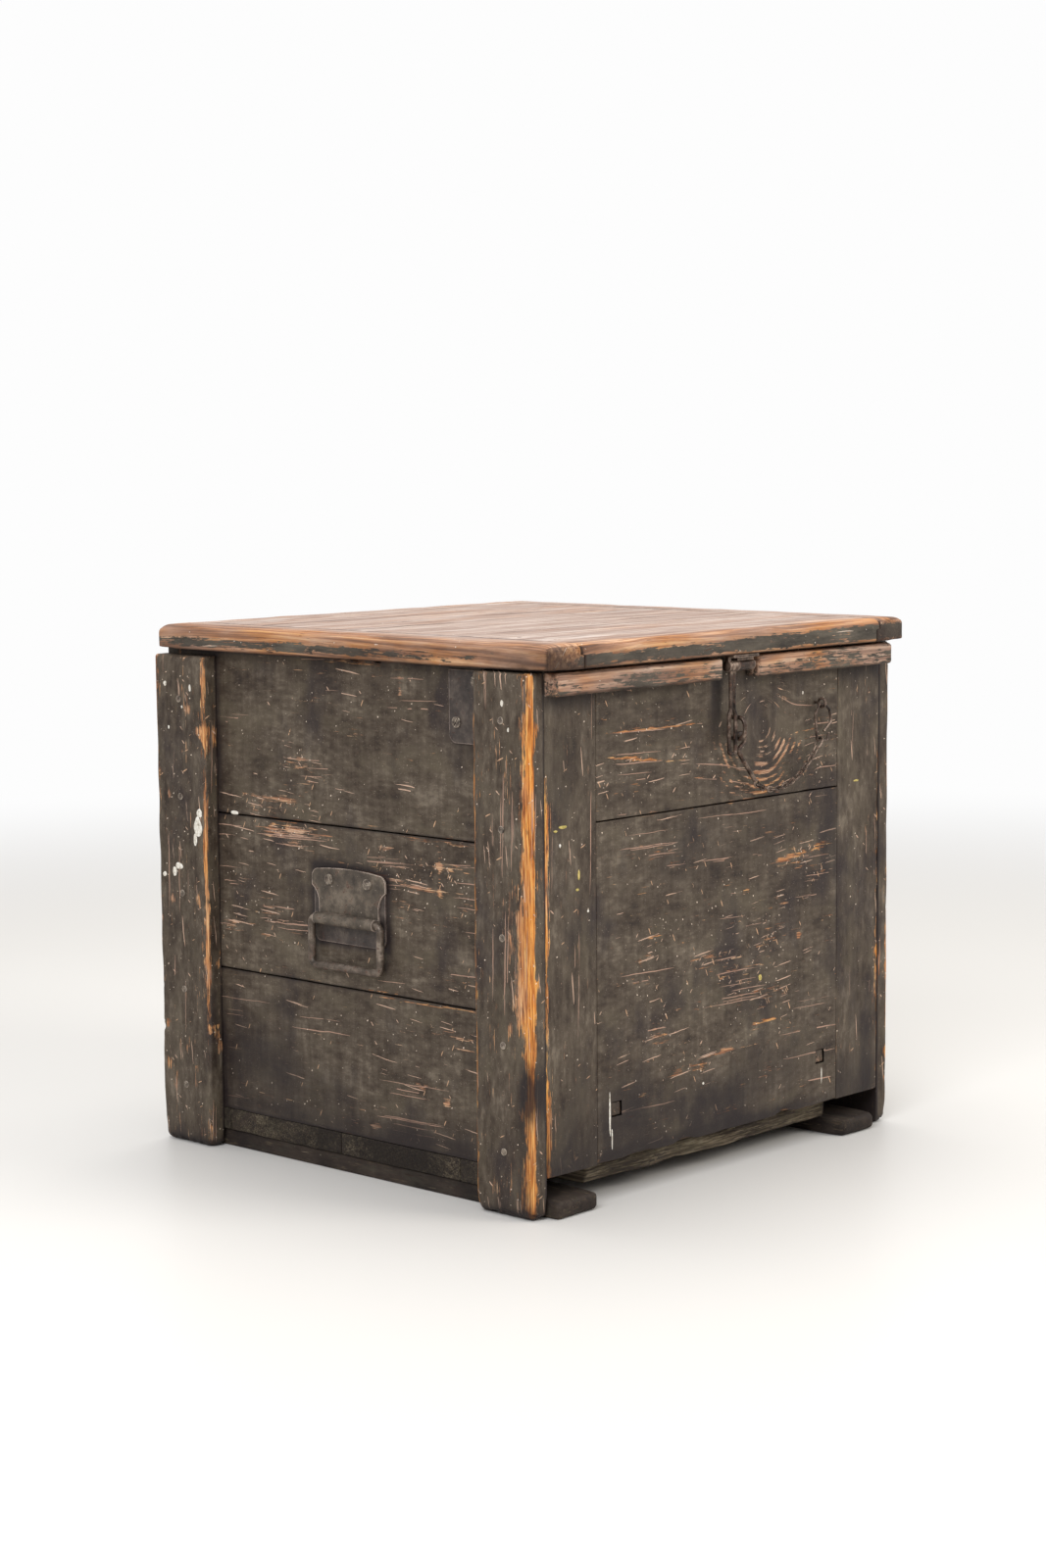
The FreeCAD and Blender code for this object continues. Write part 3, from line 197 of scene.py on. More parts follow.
def addPiece(name, points, quads, replaced, attributes, material):
    mesh = bpy.data.meshes.new(name)
    mesh.vertices.add(len(points))
    mesh.vertices.foreach_set("co", (points * mm).ravel())
    mesh.loops.add(quads.size)
    mesh.loops.foreach_set("vertex_index", quads.ravel())
    mesh.polygons.add(len(quads))
    mesh.polygons.foreach_set("loop_start", np.arange(0, quads.size, 4))
    mesh.update(calc_edges=True)
    mesh.shade_smooth()
    for key, values in attributes.items():
        kind, channel = ("FLOAT_VECTOR", "vector") if values.ndim == 2 else ("FLOAT", "value")
        layer = mesh.attributes.new(key, kind, "POINT")
        layer.data.foreach_set(channel, np.asarray(values, float).ravel())
    mesh.materials.append(material)
    piece = bpy.data.objects.new(name, mesh)
    bpy.context.scene.collection.objects.link(piece)
    if replaced:
        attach(piece, bodyOf[replaced])
        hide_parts(replaced)
    return piece


# Materials
# Pine with its paint or its weathered face: thin skin over wood, so flakes and scratches show the wood
def wornPine(look):
    material = bpy.data.materials.new(look["name"])
    add = emptyTree(material)
    place = add("Attribute grainPlace").outputs["Vector"]
    paintLeft, grime, scratched, tone = [add("Attribute " + key).outputs["Fac"]
                                         for key in ("paintLeft", "grime", "scratched", "tone")]
    upright = add("TexCoord").outputs["Object"]
    pattern = {}
    for key, (along, across, detail, seed) in look["patterns"].items():
        run = key in look["upright"]
        size = (across, across, along) if run else (along, across, across)
        scaled = add("VectorMath DIVIDE", upright if run else place, [value * mm for value in size])
        moved = add("VectorMath ADD", scaled, (seed, seed * 1.7, seed * 0.6))
        pattern[key] = add("TexNoise", moved, 1.0, detail, 0.62)

    # the wood: fibres from dark to light, pale where it has weathered and warm where it is fresh
    fibre = add("MapRange", pattern["fibre"], 0.35, 0.65)
    pale = add("ValToRGB", fibre, stops=look["pale wood"])
    warm = add("ValToRGB", fibre, stops=look["warm wood"])
    warmth = add("Math MULTIPLY_ADD", pattern["bloom"], 1.6, look["warmth"])
    warmth = add("Math ADD", warmth, tone, use_clamp=True)
    wood = add("Mix RGBA", warmth, pale, warm)

    # the paint: fine mottle, brush runs and slow patches together
    tones = 0.0
    for key, share in (("mottle", 0.36), ("brush", 0.2), ("patch", 0.44)):
        tones = add("Math MULTIPLY_ADD", pattern[key], share, tones)
    paint = add("ValToRGB", add("MapRange", tones, 0.35, 0.65), stops=look["paint"])

    # what lies over both: pattern, colour, where it starts and is full, and its largest share
    for key, colour, start, full, most in (("drift", "wood drift", 0.38, 0.66, look["drift share"]),
                                           ("pores", "pore", 0.62, 0.74, 1.0)):
        wood = add("Mix RGBA", add("MapRange", pattern[key], start, full, 0, most), wood, look[colour])
    for key, colour, start, full, most in (("bloom", "bloom", 0.5, 0.72, 0.65),
                                           ("blotch", "blotch", 0.54, 0.68, 0.75),
                                           ("speck", "dust", 0.66, 0.72, 0.5)):
        paint = add("Mix RGBA", add("MapRange", pattern[key], start, full, 0, most), paint, look[colour])

    # where the paint is gone: flakes along the grain, thick in clusters
    cluster = add("MapRange", pattern["cluster"], 0.46, 0.7)
    rubbed = add("Math MULTIPLY", add("Math MULTIPLY_ADD", scratched, 0.45, 0.2), cluster)
    left = add("Math MULTIPLY_ADD", rubbed, -look["flaking"], paintLeft)
    flake = add("MapRange", add("Mix FLOAT", 0.5, pattern["flake"], pattern["hair"]), 0.34, 0.66)
    painted = add("MapRange", add("Math SUBTRACT", left, flake), -0.05, 0.05)
    skin = add("Mix RGBA", painted, wood, paint)
    height = add("Math MULTIPLY", painted, look["paint depth"])

    # scratches: stretched cells on a plane that is tilted, so that each side of the box shows them
    tilt, flattened, groove = math.radians(45), 0.707, 0.08 * mm
    wavy = add("TexNoise", place, 25.0, 5.0, 0.55).outputs["Color"]
    wander = add("VectorMath SCALE", wavy, look["wander"] * mm)
    wandered = add("VectorMath ADD", add("VectorRotate X_AXIS", place, Angle=tilt), wander)
    busy = add("Math MULTIPLY", add("Math MULTIPLY_ADD", cluster, 0.6, 0.4), scratched)
    broken = add("MapRange", pattern["fibre"], 0.36, 0.46)
    for along, across, turn, reach, share, colour in look["scratches"]:
        turned = add("VectorRotate Z_AXIS", wandered, Angle=math.radians(turn))
        scaled = add("VectorMath DIVIDE", turned, (along * mm, across * mm * flattened, 1.0))
        cells = add("TexVoronoi 2D", scaled, 1.0)
        chance = add("SeparateColor", cells.outputs["Color"])
        size = add("Math MULTIPLY_ADD", chance.outputs["Green"], reach, 0.02)
        inside = add("Math LESS_THAN", cells.outputs["Distance"], size)
        there = add("Math LESS_THAN", chance.outputs["Red"], add("Math MULTIPLY", busy, share))
        mark = add("Math MULTIPLY", add("Math MULTIPLY", inside, there), broken)
        skin = add("Mix RGBA", mark, skin, colour)
        height = add("Math MULTIPLY_ADD", mark, -groove, height)

    # patchy dirt, and painted shade in corners, under ledges and round iron
    dirtAndShade = add("Mix FLOAT", 0.4, pattern["blotch"], pattern["mottle"])
    dirtAndShade = add("Math MULTIPLY_ADD", dirtAndShade, 2.6, -1.55)
    dirtAndShade = add("Math MULTIPLY_ADD", grime, 1.5, dirtAndShade)
    skin = add("Mix RGBA", add("MapRange", dirtAndShade, 0, 1, 0, 0.9), skin, look["grime"])

    for key, depth in (("fibre", "grain depth"), ("mottle", "dent depth")):
        height = add("Math MULTIPLY_ADD", pattern[key], look[depth], height)
    bump = add("Bump", 1.0, 1.0, Height=height)
    rough = add("MapRange", painted, 0, 1, look["wood rough"], look["paint rough"])
    surface = add("BsdfPrincipled", skin, Roughness=rough, Normal=bump, IOR=1.5,
                  **{"Specular IOR Level": look["gloss"]})
    add("OutputMaterial", surface)
    return material


# sizes in mm: length along the grain, width across it, detail, seed
paintedLook = {
    "name": "oilPaintedPine",  # thick brushed oil paint gone dull, its low sheen broken by the grain
    "patterns": {"fibre": (38, 1.2, 4, 1), "drift": (160, 24, 2, 5), "pores": (14, 0.8, 2, 9),
                 "mottle": (13, 6, 8, 12), "brush": (60, 7, 3, 13), "patch": (60, 34, 8, 17),
                 "blotch": (105, 62, 6, 21), "bloom": (60, 30, 7, 25), "speck": (1.9, 1.3, 2, 31),
                 "flake": (15, 3.2, 5, 37), "hair": (70, 0.8, 3, 41), "cluster": (70, 26, 3, 43)},
    "upright": ("brush", "blotch"),
    "pale wood": [(0, "#6f5140"), (0.35, "#9c7761"), (0.65, "#bb987d"), (1, "#d4b89e")],
    "warm wood": [(0, "#592b0e"), (0.3, "#a65c23"), (0.6, "#dd8f3f"), (1, "#f5c272")], "warmth": -0.85,
    "wood drift": "#7d5436", "drift share": 0.3, "pore": "#3b2214",
    "paint": [(0, "#251c16"), (0.3, "#3a2f25"), (0.62, "#51463a"), (1, "#766a5b")],
    "blotch": "#292020", "bloom": "#5b5141", "dust": "#9a8c7c", "grime": "#1e1616", "flaking": 0.75,
    "scratches": [(130, 1.6, 1, 0.4, 0.3, "#a88672"), (42, 1.5, -4, 0.4, 0.22, "#c3a28b"),
                  (13, 3.4, 57, 0.22, 0.16, "#c49c7a"), (12, 3.6, -38, 0.2, 0.15, "#c0a088"),
                  (4.6, 4.6, 30, 0.15, 0.3, "#dcc8b3")],
    "paint depth": 0.14 * mm, "grain depth": 0.22 * mm, "dent depth": 0.4 * mm, "wander": 2.6,
    "wood rough": 0.8, "paint rough": 0.6, "gloss": 0.26,
}
lidLook = {
    "name": "weatheredPine",  # scrubbed bare pine, raised grain, nearly no sheen
    "patterns": {"fibre": (170, 4.6, 8, 2), "drift": (260, 26, 6, 6), "pores": (110, 1.5, 4, 10),
                 "mottle": (26, 9, 6, 12), "brush": (26, 2.4, 4, 13), "patch": (60, 36, 4, 17),
                 "blotch": (150, 40, 5, 21), "bloom": (75, 26, 4, 25), "speck": (3, 1.5, 2, 31),
                 "flake": (13, 4, 4, 37), "hair": (40, 1.2, 3, 41), "cluster": (50, 26, 3, 43)},
    "upright": (),
    "pale wood": [(0, "#836b5e"), (0.35, "#9f887a"), (0.65, "#b6a295"), (1, "#cfc0b5")],
    "warm wood": [(0, "#432612"), (0.35, "#83502a"), (0.65, "#b07541"), (1, "#d29c64")],
    "wood drift": "#82695b", "drift share": 0.45, "warmth": -1.0, "pore": "#3a251b",
    "paint": [(0, "#2a241e"), (0.3, "#3d372f"), (0.62, "#514a40"), (1, "#6d6557")],
    "blotch": "#332c27", "bloom": "#5a5244", "dust": "#857968", "grime": "#2d1f17", "flaking": 0.6,
    "scratches": [(120, 3.4, 1, 0.2, 0.2, "#d2bda9"), (40, 4, -4, 0.2, 0.16, "#4a3327"),
                  (8, 8, 30, 0.08, 0.18, "#d6cabb")],
    "paint depth": 0.14 * mm, "grain depth": 0.28 * mm, "dent depth": 0.5 * mm, "wander": 3,
    "wood rough": 0.74, "paint rough": 0.6, "gloss": 0.25,
}
floorLook = {
    "name": "stainedPine",  # sawn pine dark with damp and dirt, dull and furry
    "patterns": {"fibre": (30, 1.6, 4, 3), "drift": (120, 20, 2, 7), "pores": (10, 1, 2, 11),
                 "mottle": (14, 5, 6, 12), "brush": (50, 6, 4, 14), "patch": (40, 20, 4, 17),
                 "blotch": (60, 40, 4, 22), "bloom": (40, 16, 4, 26), "speck": (2.4, 1.5, 2, 32),
                 "flake": (20, 6, 4, 38), "hair": (40, 1.4, 3, 41), "cluster": (50, 26, 3, 43)},
    "upright": (),
    "pale wood": [(0, "#2d241d"), (0.35, "#504638"), (0.65, "#746a56"), (1, "#968a74")],
    "warm wood": [(0, "#231a15"), (0.4, "#3a2d25"), (0.7, "#513f32"), (1, "#6a5745")],
    "wood drift": "#655c4a", "drift share": 0.4, "pore": "#191210", "warmth": -0.85,
    "paint": [(0, "#221b18"), (0.3, "#302722"), (0.62, "#41362e"), (1, "#574b40")],
    "blotch": "#241d1b", "bloom": "#4a463a", "dust": "#6b6153", "grime": "#17110f", "flaking": 0.4,
    "scratches": [(60, 4, 2, 0.2, 0.25, "#7d6e5c"), (8, 8, 30, 0.08, 0.2, "#8f8676")],
    "paint depth": 0.1 * mm, "grain depth": 0.35 * mm, "dent depth": 0.6 * mm, "wander": 2,
    "wood rough": 0.84, "paint rough": 0.72, "gloss": 0.2,
}


# Iron: scale and rust over metal, rubbed bright along the edges that hands and chain touch; the lighter edges
# are partly a painted highlight
def rustedIron(look):
    material = bpy.data.materials.new(look["name"])
    add = emptyTree(material)
    place = add("TexCoord").outputs["Object"]
    pattern = {key: add("TexNoise", place, 1 / (size * mm), detail, 0.65)
               for key, (size, detail) in look["patterns"].items()}
    colour = add("ValToRGB", add("MapRange", pattern["cloud"], 0.32, 0.68), stops=look["metal"])
    rust = add("MapRange", pattern["rust"], look["rust from"], look["rust from"] + 0.09)
    colour = add("Mix RGBA", rust, colour, add("ValToRGB", pattern["grit"], stops=look["rust"]))
    # lighter edges: partly rubbed metal, partly a painted highlight
    soft = add("Bevel", 1.6 * mm, samples=6)
    turn = add("VectorMath DOT_PRODUCT", soft, add("NewGeometry").outputs["Normal"])
    edge = add("MapRange", turn, 0.997, 0.93)
    rubbedEdgeAndHighlight = add("Math MULTIPLY", edge, add("MapRange", pattern["cloud"], 0.32, 0.55, 0, 0.9))
    for bright in (add("MapRange", pattern["fleck"], 0.68, 0.74), rubbedEdgeAndHighlight):
        colour = add("Mix RGBA", bright, colour, look["fleck"])
    height = add("Math MULTIPLY", pattern["rust"], look["scale depth"])
    height = add("Math MULTIPLY_ADD", pattern["grit"], look["pit depth"], height)
    bump = add("Bump", 1.0, 1.0, Height=height)
    rough = add("MapRange", rust, 0, 1, look["metal rough"], 0.85)
    metal = add("MapRange", rust, 0, 1, look["metallic"], 0.0)
    surface = add("BsdfPrincipled", colour, metal, rough, Normal=bump, **{"Specular IOR Level": 0.4})
    add("OutputMaterial", surface)
    return material


# sizes in mm: size of each pattern and its detail
forgedLook = {
    "name": "forgedIron",  # hammered and rusted, dark with brown scale and a few rubbed places that shine
    "patterns": {"cloud": (14, 4), "rust": (5, 5), "grit": (0.9, 3), "fleck": (2.6, 3)},
    "metal": [(0, "#1b1410"), (0.5, "#3c2f27"), (1, "#8a7768")],
    "rust": [(0.3, "#251913"), (0.5, "#452e22"), (0.7, "#6e4e3d")], "rust from": 0.53, "fleck": "#a08a7a",
    "scale depth": 0.7 * mm, "pit depth": 0.2 * mm, "metal rough": 0.31, "metallic": 0.62,
}
bailLook = {
    "name": "handWornIron",  # forged iron under thin paint that hands have rubbed to a dull grey shine
    "patterns": {"cloud": (12, 5), "rust": (6, 5), "grit": (1, 3), "fleck": (2.4, 3)},
    "metal": [(0, "#2f261f"), (0.5, "#574b40"), (1, "#968879")],
    "rust": [(0.3, "#2f211a"), (0.5, "#503a2f"), (0.7, "#7c6254")], "rust from": 0.55, "fleck": "#c4b2a4",
    "scale depth": 0.6 * mm, "pit depth": 0.15 * mm, "metal rough": 0.4, "metallic": 0.3,
}
sheetLook = {
    "name": "paintedSheetIron",  # rolled sheet under the paint of the chest, thin at bends where it rusts
    "patterns": {"cloud": (18, 5), "rust": (9, 6), "grit": (1.1, 3), "fleck": (2.2, 3)},
    "metal": [(0, "#2d251e"), (0.5, "#4b4136"), (1, "#76695a")],
    "rust": [(0.3, "#2d211a"), (0.5, "#4f3d32"), (0.7, "#806859")], "rust from": 0.57, "fleck": "#c2ae9f",
    "scale depth": 0.5 * mm, "pit depth": 0.12 * mm, "metal rough": 0.55, "metallic": 0.0,
}
plateLook = {
    "name": "darkSheetIron",  # rolled sheet whose paint is stained nearly black, with a flat sheen
    "patterns": {"cloud": (16, 5), "rust": (7, 6), "grit": (1.1, 3), "fleck": (2.2, 3)},
    "metal": [(0, "#241d1a"), (0.5, "#3a312c"), (1, "#574c43")],
    "rust": [(0.3, "#241a16"), (0.5, "#3d2d27"), (0.7, "#5c473d")], "rust from": 0.58, "fleck": "#8d7b71",
    "scale depth": 0.4 * mm, "pit depth": 0.12 * mm, "metal rough": 0.5, "metallic": 0.1,
}
screwLook = {
    "name": "turnedSteel",  # cut steel heads dulled by paint and handling
    "patterns": {"cloud": (5, 3), "rust": (3, 4), "grit": (0.6, 2), "fleck": (1.5, 3)},
    "metal": [(0, "#332b25"), (0.5, "#5c5147"), (1, "#928575")],
    "rust": [(0.3, "#2f221b"), (0.5, "#49362b"), (0.7, "#654d3d")], "rust from": 0.56, "fleck": "#b3a594",
    "scale depth": 0.2 * mm, "pit depth": 0.08 * mm, "metal rough": 0.5, "metallic": 0.3,
}
paintedPine, weatheredPine, stainedPine = [wornPine(look) for look in (paintedLook, lidLook, floorLook)]
forgedIron, sheetIron, turnedSteel, handWornIron, darkSheetIron = [
    rustedIron(look) for look in (forgedLook, sheetLook, screwLook, bailLook, plateLook)]
print("materials made")


# Boards
class Board:  # what a finish asks of a board: its lattice, which way its points face, and its own noise
    def __init__(self, node, low, high, grain, start):
        self.node, self.low, self.high, self.grain, self.start = node, low, high, grain, start
        letters = sum(map(ord, node))
        self.seed = letters % 53
        nearest = np.minimum(start - low, high - start)
        self.rim = np.sort(nearest, axis=1)[:, 1]  # mm from the nearest edge of the box
        away = start - np.clip(start, low + 3.0, high - 3.0)
        self.out = away / np.maximum(np.linalg.norm(away, axis=1, keepdims=True), 1e-9)
        order = {0: [0, 2, 1], 1: [1, 2, 0], 2: [2, 1, 0]}[grain]
        shift = np.array([letters % 89, letters % 61, letters % 47]) * 7.0  # so that no two boards match
        self.grainPlace = start[:, order] + shift  # along, across and through the board

    def noise(self, size, seed=0):
        return latticeNoise(self.start, size, self.seed + seed)

    def facing(self, axis, sign):  # how squarely each point faces along an axis
        return np.clip(self.out[:, axis] * sign, 0, 1)

    def sides(self, axis):  # which way is out of the chest, and how squarely each point faces out and in
        sign = -1 if self.low[axis] < 0 else 1
        return sign, self.facing(axis, sign), self.facing(axis, -sign)

    def rounded(self, radius):
        return roundBox(self.start, self.low, self.high, radius[:, None])

    def wornEdges(self, finish):  # soft edges whose rounding wanders, with nicks
        bite = ease(self.noise(9, 3), 0.72, 0.9)
        return self.rounded(finish["round"] * (0.55 + 0.9 * self.noise(34)) + finish["nick"] * bite)

    def waves(self, finish):  # hand-planed wood: slow hollows and grain ridges, inward only
        slow = latticeNoise(self.grainPlace, (45 / 0.4, 45, 45), self.seed)
        ridge = latticeNoise(self.grainPlace, (5 / 0.12, 5, 5), self.seed + 5)
        return -self.out * (finish["hollow"] * slow + finish["ridge"] * ridge)[:, None]


def makeBoard(node, box, grain, cell, ends, finish, material, windows=(), lines={}):
    low, high = box
    axes = [latticeLines(low[a], high[a], cell[a], ends, lines.get(a, ())) for a in range(3)]
    start, quads = boxSurface(*axes, windows=windows)
    board = Board(node, low, high, grain, start)
    points, paint, grime, scratched, tone = finish(board, low, high, *start.T)
    looks = {"paintLeft": paint, "grime": np.clip(grime, 0, 1), "scratched": scratched, "tone": tone}
    attributes = {key: values + 0 * start[:, 0] for key, values in looks.items()}
    attributes["grainPlace"] = board.grainPlace * mm
    addPiece(f"{node}_worn", points, quads, node, attributes, material)


def dirtAndShadeBySide(grime, outside, inside):  # the face's dirt and painted shade as they are, some dust inside, and dark seams between
    return grime * outside + 0.22 * inside + 0.5 * (1 - outside) * (1 - inside)


sides = ("left", "right")
rows = ("front", "second", "third", "rear")

# Corner posts
postFinish = {"round": 5.0, "most round": 9.2, "nick": 2.0, "foot": 9.0, "foot height": 16, "hollow": 0.25,
              "ridge": 0.15, "left strip": 14, "right strip": 7, "burnt place": (7, 122), "notch": 120,
              "notch depth": 3.2, "crack depth": 0.7}
notchRows = np.arange(postFinish["notch"] - 6, postFinish["notch"] + 9, 0.9)


def finishPost(board, low, high, x, y, z):
    onLeft, onFront = low[0] < 0, low[1] < 0
    thick = high[0] - low[0]
    outer = np.clip(np.abs(x) - max(-low[0], high[0]) + thick, 0, None) / thick
    bite = ease(board.noise(8, 2), 0.74, 0.92)
    size = 0.8 + outer * (postFinish["round"] * (0.45 + 0.8 * board.noise(30)) + postFinish["nick"] * bite)
    foot = bell(z, low[2], postFinish["foot height"]) * (0.4 + 0.6 * outer)
    size += foot * postFinish["foot"] * (0.5 + 0.8 * board.noise(14, 7))
    points = board.rounded(np.minimum(size, postFinish["most round"])) + board.waves(postFinish)
    points[:, 2] += 2.5 * bell(z, low[2], 5) * ease(board.noise(6, 9), 0.45, 0.8)
    toFront, toBack = y - low[1], high[1] - y
    outerFace = ease(outer, 0.6, 0.95)
    drift = board.noise((7000, 7000, 70), 13)  # the same right round the post
    paint = 1.02 - 0.25 * bell(board.rim, 0, 4) * drift
    paint -= 0.12 * outerFace * ease(board.noise((5, 5, 62.5), 11), 0.5, 0.9)
    paint -= 0.5 * ease(board.noise((11, 11, 22), 17), 0.74, 0.92)
    if onFront:  # a bare strip beside the front edge, narrower towards its ends, and a thin one at the back
        ragged = board.noise((260, 260, 26), 15) - 0.5
        width = postFinish["left strip" if onLeft else "right strip"] + 9 * ragged
        width -= 8 * ease(z, 340, 500) + 5 * ease(160 - z, 0, 60)
        paint -= ease(width - toFront, -8, 8) * outerFace * (0.9 if onLeft else 0.6 * drift)
        paint -= 0.2 * onLeft * outerFace * bell(toFront, 24, 12) * bell(z, 250, 130)
        paint -= 0.7 * bell(toBack, 0, 3.5) * (0.3 + 0.7 * drift) * ease(500 - z, 0, 60) * outerFace
    else:
        paint -= 0.55 * bell(toFront, 0, 5) * (0.05 + 0.95 * drift) * outerFace
        paint -= 0.45 * bell(toBack, 0, 4) * ease(z, 330, 420) * outerFace
    if onLeft and not onFront:  # a notch in the back edge, with a crack that runs from it
        notch = postFinish["notch"]
        points[:, 1] -= postFinish["notch depth"] * bell(z, notch, 3.5) * bell(toBack, 0, 5)
        crack = bell(z, notch + 4 + (y - 232) * 0.05, 1.2)
        points[:, 0] += postFinish["crack depth"] * crack * outerFace
    burntBeside, burntUp = postFinish["burnt place"]
    burnt = onLeft * bell(z, burntUp, 30) * bell(toFront, burntBeside, 13)
    burnt = onFront * (burnt + 0.3 * ease(110 - z, 0, 30) * bell(toFront, 12, 8))
    grime = 0.25 * bell(z, low[2], 40) + 0.7 * bell(z, low[2], 9) + 1.3 * burnt
    grime += 0.9 * (1 - ease(outer, 0, 0.25))
    tone = 0.35 + (0.65 if onFront else 0.3) * bell(np.minimum(toFront, toBack), 0, 16)
    return points, paint, grime, 0.18 + 0.3 * drift, tone


for end in ("front", "rear"):
    for side in sides:
        node = f"{end}_{side}_post"
        lines = {2: notchRows} if node == "rear_left_post" else {}
        makeBoard(node, boxOf(node), 2, (3, 2.6, 4), wornEnds, finishPost, paintedPine,
                  lines=lines)
print("posts made")

# Drops and smears of other paint: place on the face, half width, half height, and 1 where it is yellow
splashes = {
    "left": [(207, 336, 6.5, 11), (204, 350, 4.5, 5), (211, 322, 3, 7), (237, 292, 6, 4),
             (244, 286, 3.5, 6), (260, 282, 3.5, 3), (254, 481, 2.6, 3), (215, 478, 1.8, 3.5),
             (228, 458, 1.2, 1.6), (249, 436, 1.4, 2), (-222, 486, 2.2, 3.5), (-230, 462, 1.4, 2.2),
             (171, 351, 6.5, 2.4)],
    "front": [(61, 186, 3.2, 3.2, 1), (-201, 286, 1.3, 1.6), (-240, 352, 1.2, 2), (130, 470, 1.2, 1.6),
              (-30, 92, 1.5, 1.3), (-171, 86, 1.1, 24), (-168, 60, 0.8, 12), (164, 68, 0.6, 9),
              (-236, 369, 6, 1.6, 1), (-246, 366, 3, 1.2, 1), (-214, 322, 1.6, 5, 1),
              (-216, 308, 2.4, 1.4, 1), (222, 372, 5, 1.2, 1)],
}
dropShape = {"height": 0.75, "sunk": 0.4, "corners": 20, "post from": 190}


def makeSplashes():
    points, quads, tints, count = [], [], [], 0
    corners = dropShape["corners"]
    angles = np.linspace(0, 2 * math.pi, corners + 1)[:-1]
    circle = np.stack([np.cos(angles), np.sin(angles)])
    spans = np.array([0.0, 0.35, 0.65, 0.88, 1.0, 0.97])[:, None]  # a drop's rings, from its top to its foot
    rises = np.array([1.0, 0.95, 0.75, 0.45, 0.05, -0.6])[:, None]
    first = np.arange(corners)
    follow = (first + 1) % corners
    band = np.stack([first, follow, follow + corners, first + corners], 1)
    faces = np.concatenate([band + corners * ring for ring in range(len(spans) - 1)])
    listed = [(face, *drop) for face, drops in splashes.items() for drop in drops]
    for number, (face, across, up, halfWidth, halfHeight, *tint) in enumerate(listed):
        rim = 0.72 + 0.5 * latticeNoise(np.stack([*circle, 0 * angles + number], 1), 0.7, 4)
        onLeft = face == "left"
        carrier = "left_upper_plank" if onLeft else "front_left_stile"
        if onLeft and abs(across) > dropShape["post from"]:
            carrier = "front_left_post"
        base = -boxOf(carrier)[0][0 if onLeft else 1]
        away = base - dropShape["sunk"] + dropShape["height"] * rises + 0 * angles
        side = across + halfWidth * spans * rim * circle[0]
        rise = up + halfHeight * spans * rim * circle[1]
        points.append(np.stack([-away, side, rise] if onLeft else [side, -away, rise], -1).reshape(-1, 3))
        tints.append(np.full(away.size, float(tint[0] if tint else 0)))
        quads.append((faces[:, ::-1] if onLeft else faces) + count)
        count += away.size
    piece = addPiece("paint_drops", np.concatenate(points), np.concatenate(quads), None,
                     {"tint": np.concatenate(tints)}, driedDrops())
    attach(piece, bodyOf["rear_left_post"])


def driedDrops():  # thick drops of oil paint, yellowed and dirty in the hollows
    material = bpy.data.materials.new("spatteredOilPaint")
    add = emptyTree(material)
    cloud = add("TexNoise", add("TexCoord").outputs["Object"], 260.0, 5.0, 0.65)
    white = add("ValToRGB", cloud, stops=[(0.3, "#8d8271"), (0.45, "#cfc6b6"), (0.6, "#e9e3d7")])
    yellow = add("ValToRGB", cloud, stops=[(0.3, "#6b6132"), (0.45, "#a3944c"), (0.6, "#d3bb72")])
    colour = add("Mix RGBA", add("Attribute tint").outputs["Fac"], white, yellow)
    bump = add("Bump", 1.0, 0.5 * mm, Height=cloud)
    surface = add("BsdfPrincipled", colour, Roughness=0.55, Normal=bump, **{"Specular IOR Level": 0.3})
    add("OutputMaterial", surface)
    return material


makeSplashes()

# Side planks; marks: place along Y and Z, reach both ways and strength
plankFinish = {
    "round": 0.8, "nick": 0.8, "hollow": 0.4, "ridge": 0.12, "seam gap": 0.6, "chip depth": 3.0,
    "post shadows": (-183, 195), "handle shadow": 6, "opposite": 9,
    "scratches": [(77, 410, 34, 16, 1.0), (130, 366, 66, 8, 1.0), (110, 340, 80, 12, 0.9),
                  (150, 236, 60, 32, 0.8), (-110, 306, 72, 26, 1.2), (0, 322, 100, 14, 0.6),
                  (-150, 153, 30, 16, 1.0), (-160, 215, 26, 12, 0.8), (-60, 480, 70, 20, 0.3),
                  (140, 290, 44, 26, 0.4), (-40, 60, 120, 14, 0.4)],
    "bare": [(-30, 514, 66, 3.5, 0.6), (77, 412, 14, 2, 0.35), (70, 405, 18, 2, 0.3),
             (-128, 91, 4.5, 5, 0.8), (-7, 134, 6, 4, 0.5), (-94, 104, 8, 4, 0.5), (-29, 54, 6, 4, 0.5),
             (-71, 491, 3, 12, 0.4), (-110, 346, 50, 2.5, 0.45), (-120, 186, 90, 2.5, 0.45),
             (132, 371, 46, 1.8, 0.5), (110, 340, 40, 1.8, 0.4), (-40, 306, 124, 2.0, 0.5, 0.145),
             (-110, 322, 50, 1.8, 0.45), (-121, 317, 2.2, 24, 0.55), (-120, 298, 60, 1.8, 0.35),
             (150, 240, 34, 1.8, 0.4), (140, 229, 40, 1.8, 0.35), (-147, 157, 18, 1.8, 0.5),
             (-152, 148, 18, 1.8, 0.4), (-30, 500, 120, 1.6, 0.25), (100, 62, 60, 2, 0.3)],
    "dark patches": [(147, 104, 66, 40, 0.6), (60, 86, 70, 28, 0.4), (-110, 58, 80, 20, 0.3),
               (20, 260, 90, 60, 0.1), (-160, 455, 24, 44, 0.4), (190, 420, 16, 100, 0.35),
               (40, 50, 220, 12, 0.3), (-30, 150, 60, 24, 0.15), (120, 160, 40, 12, 0.3)],
}
handleLow = np.minimum(boxOf("left_handle_shield")[0], boxOf("left_handle_plate")[0])
handleHigh = np.maximum(boxOf("left_handle_shield")[1], boxOf("left_handle_plate")[1])


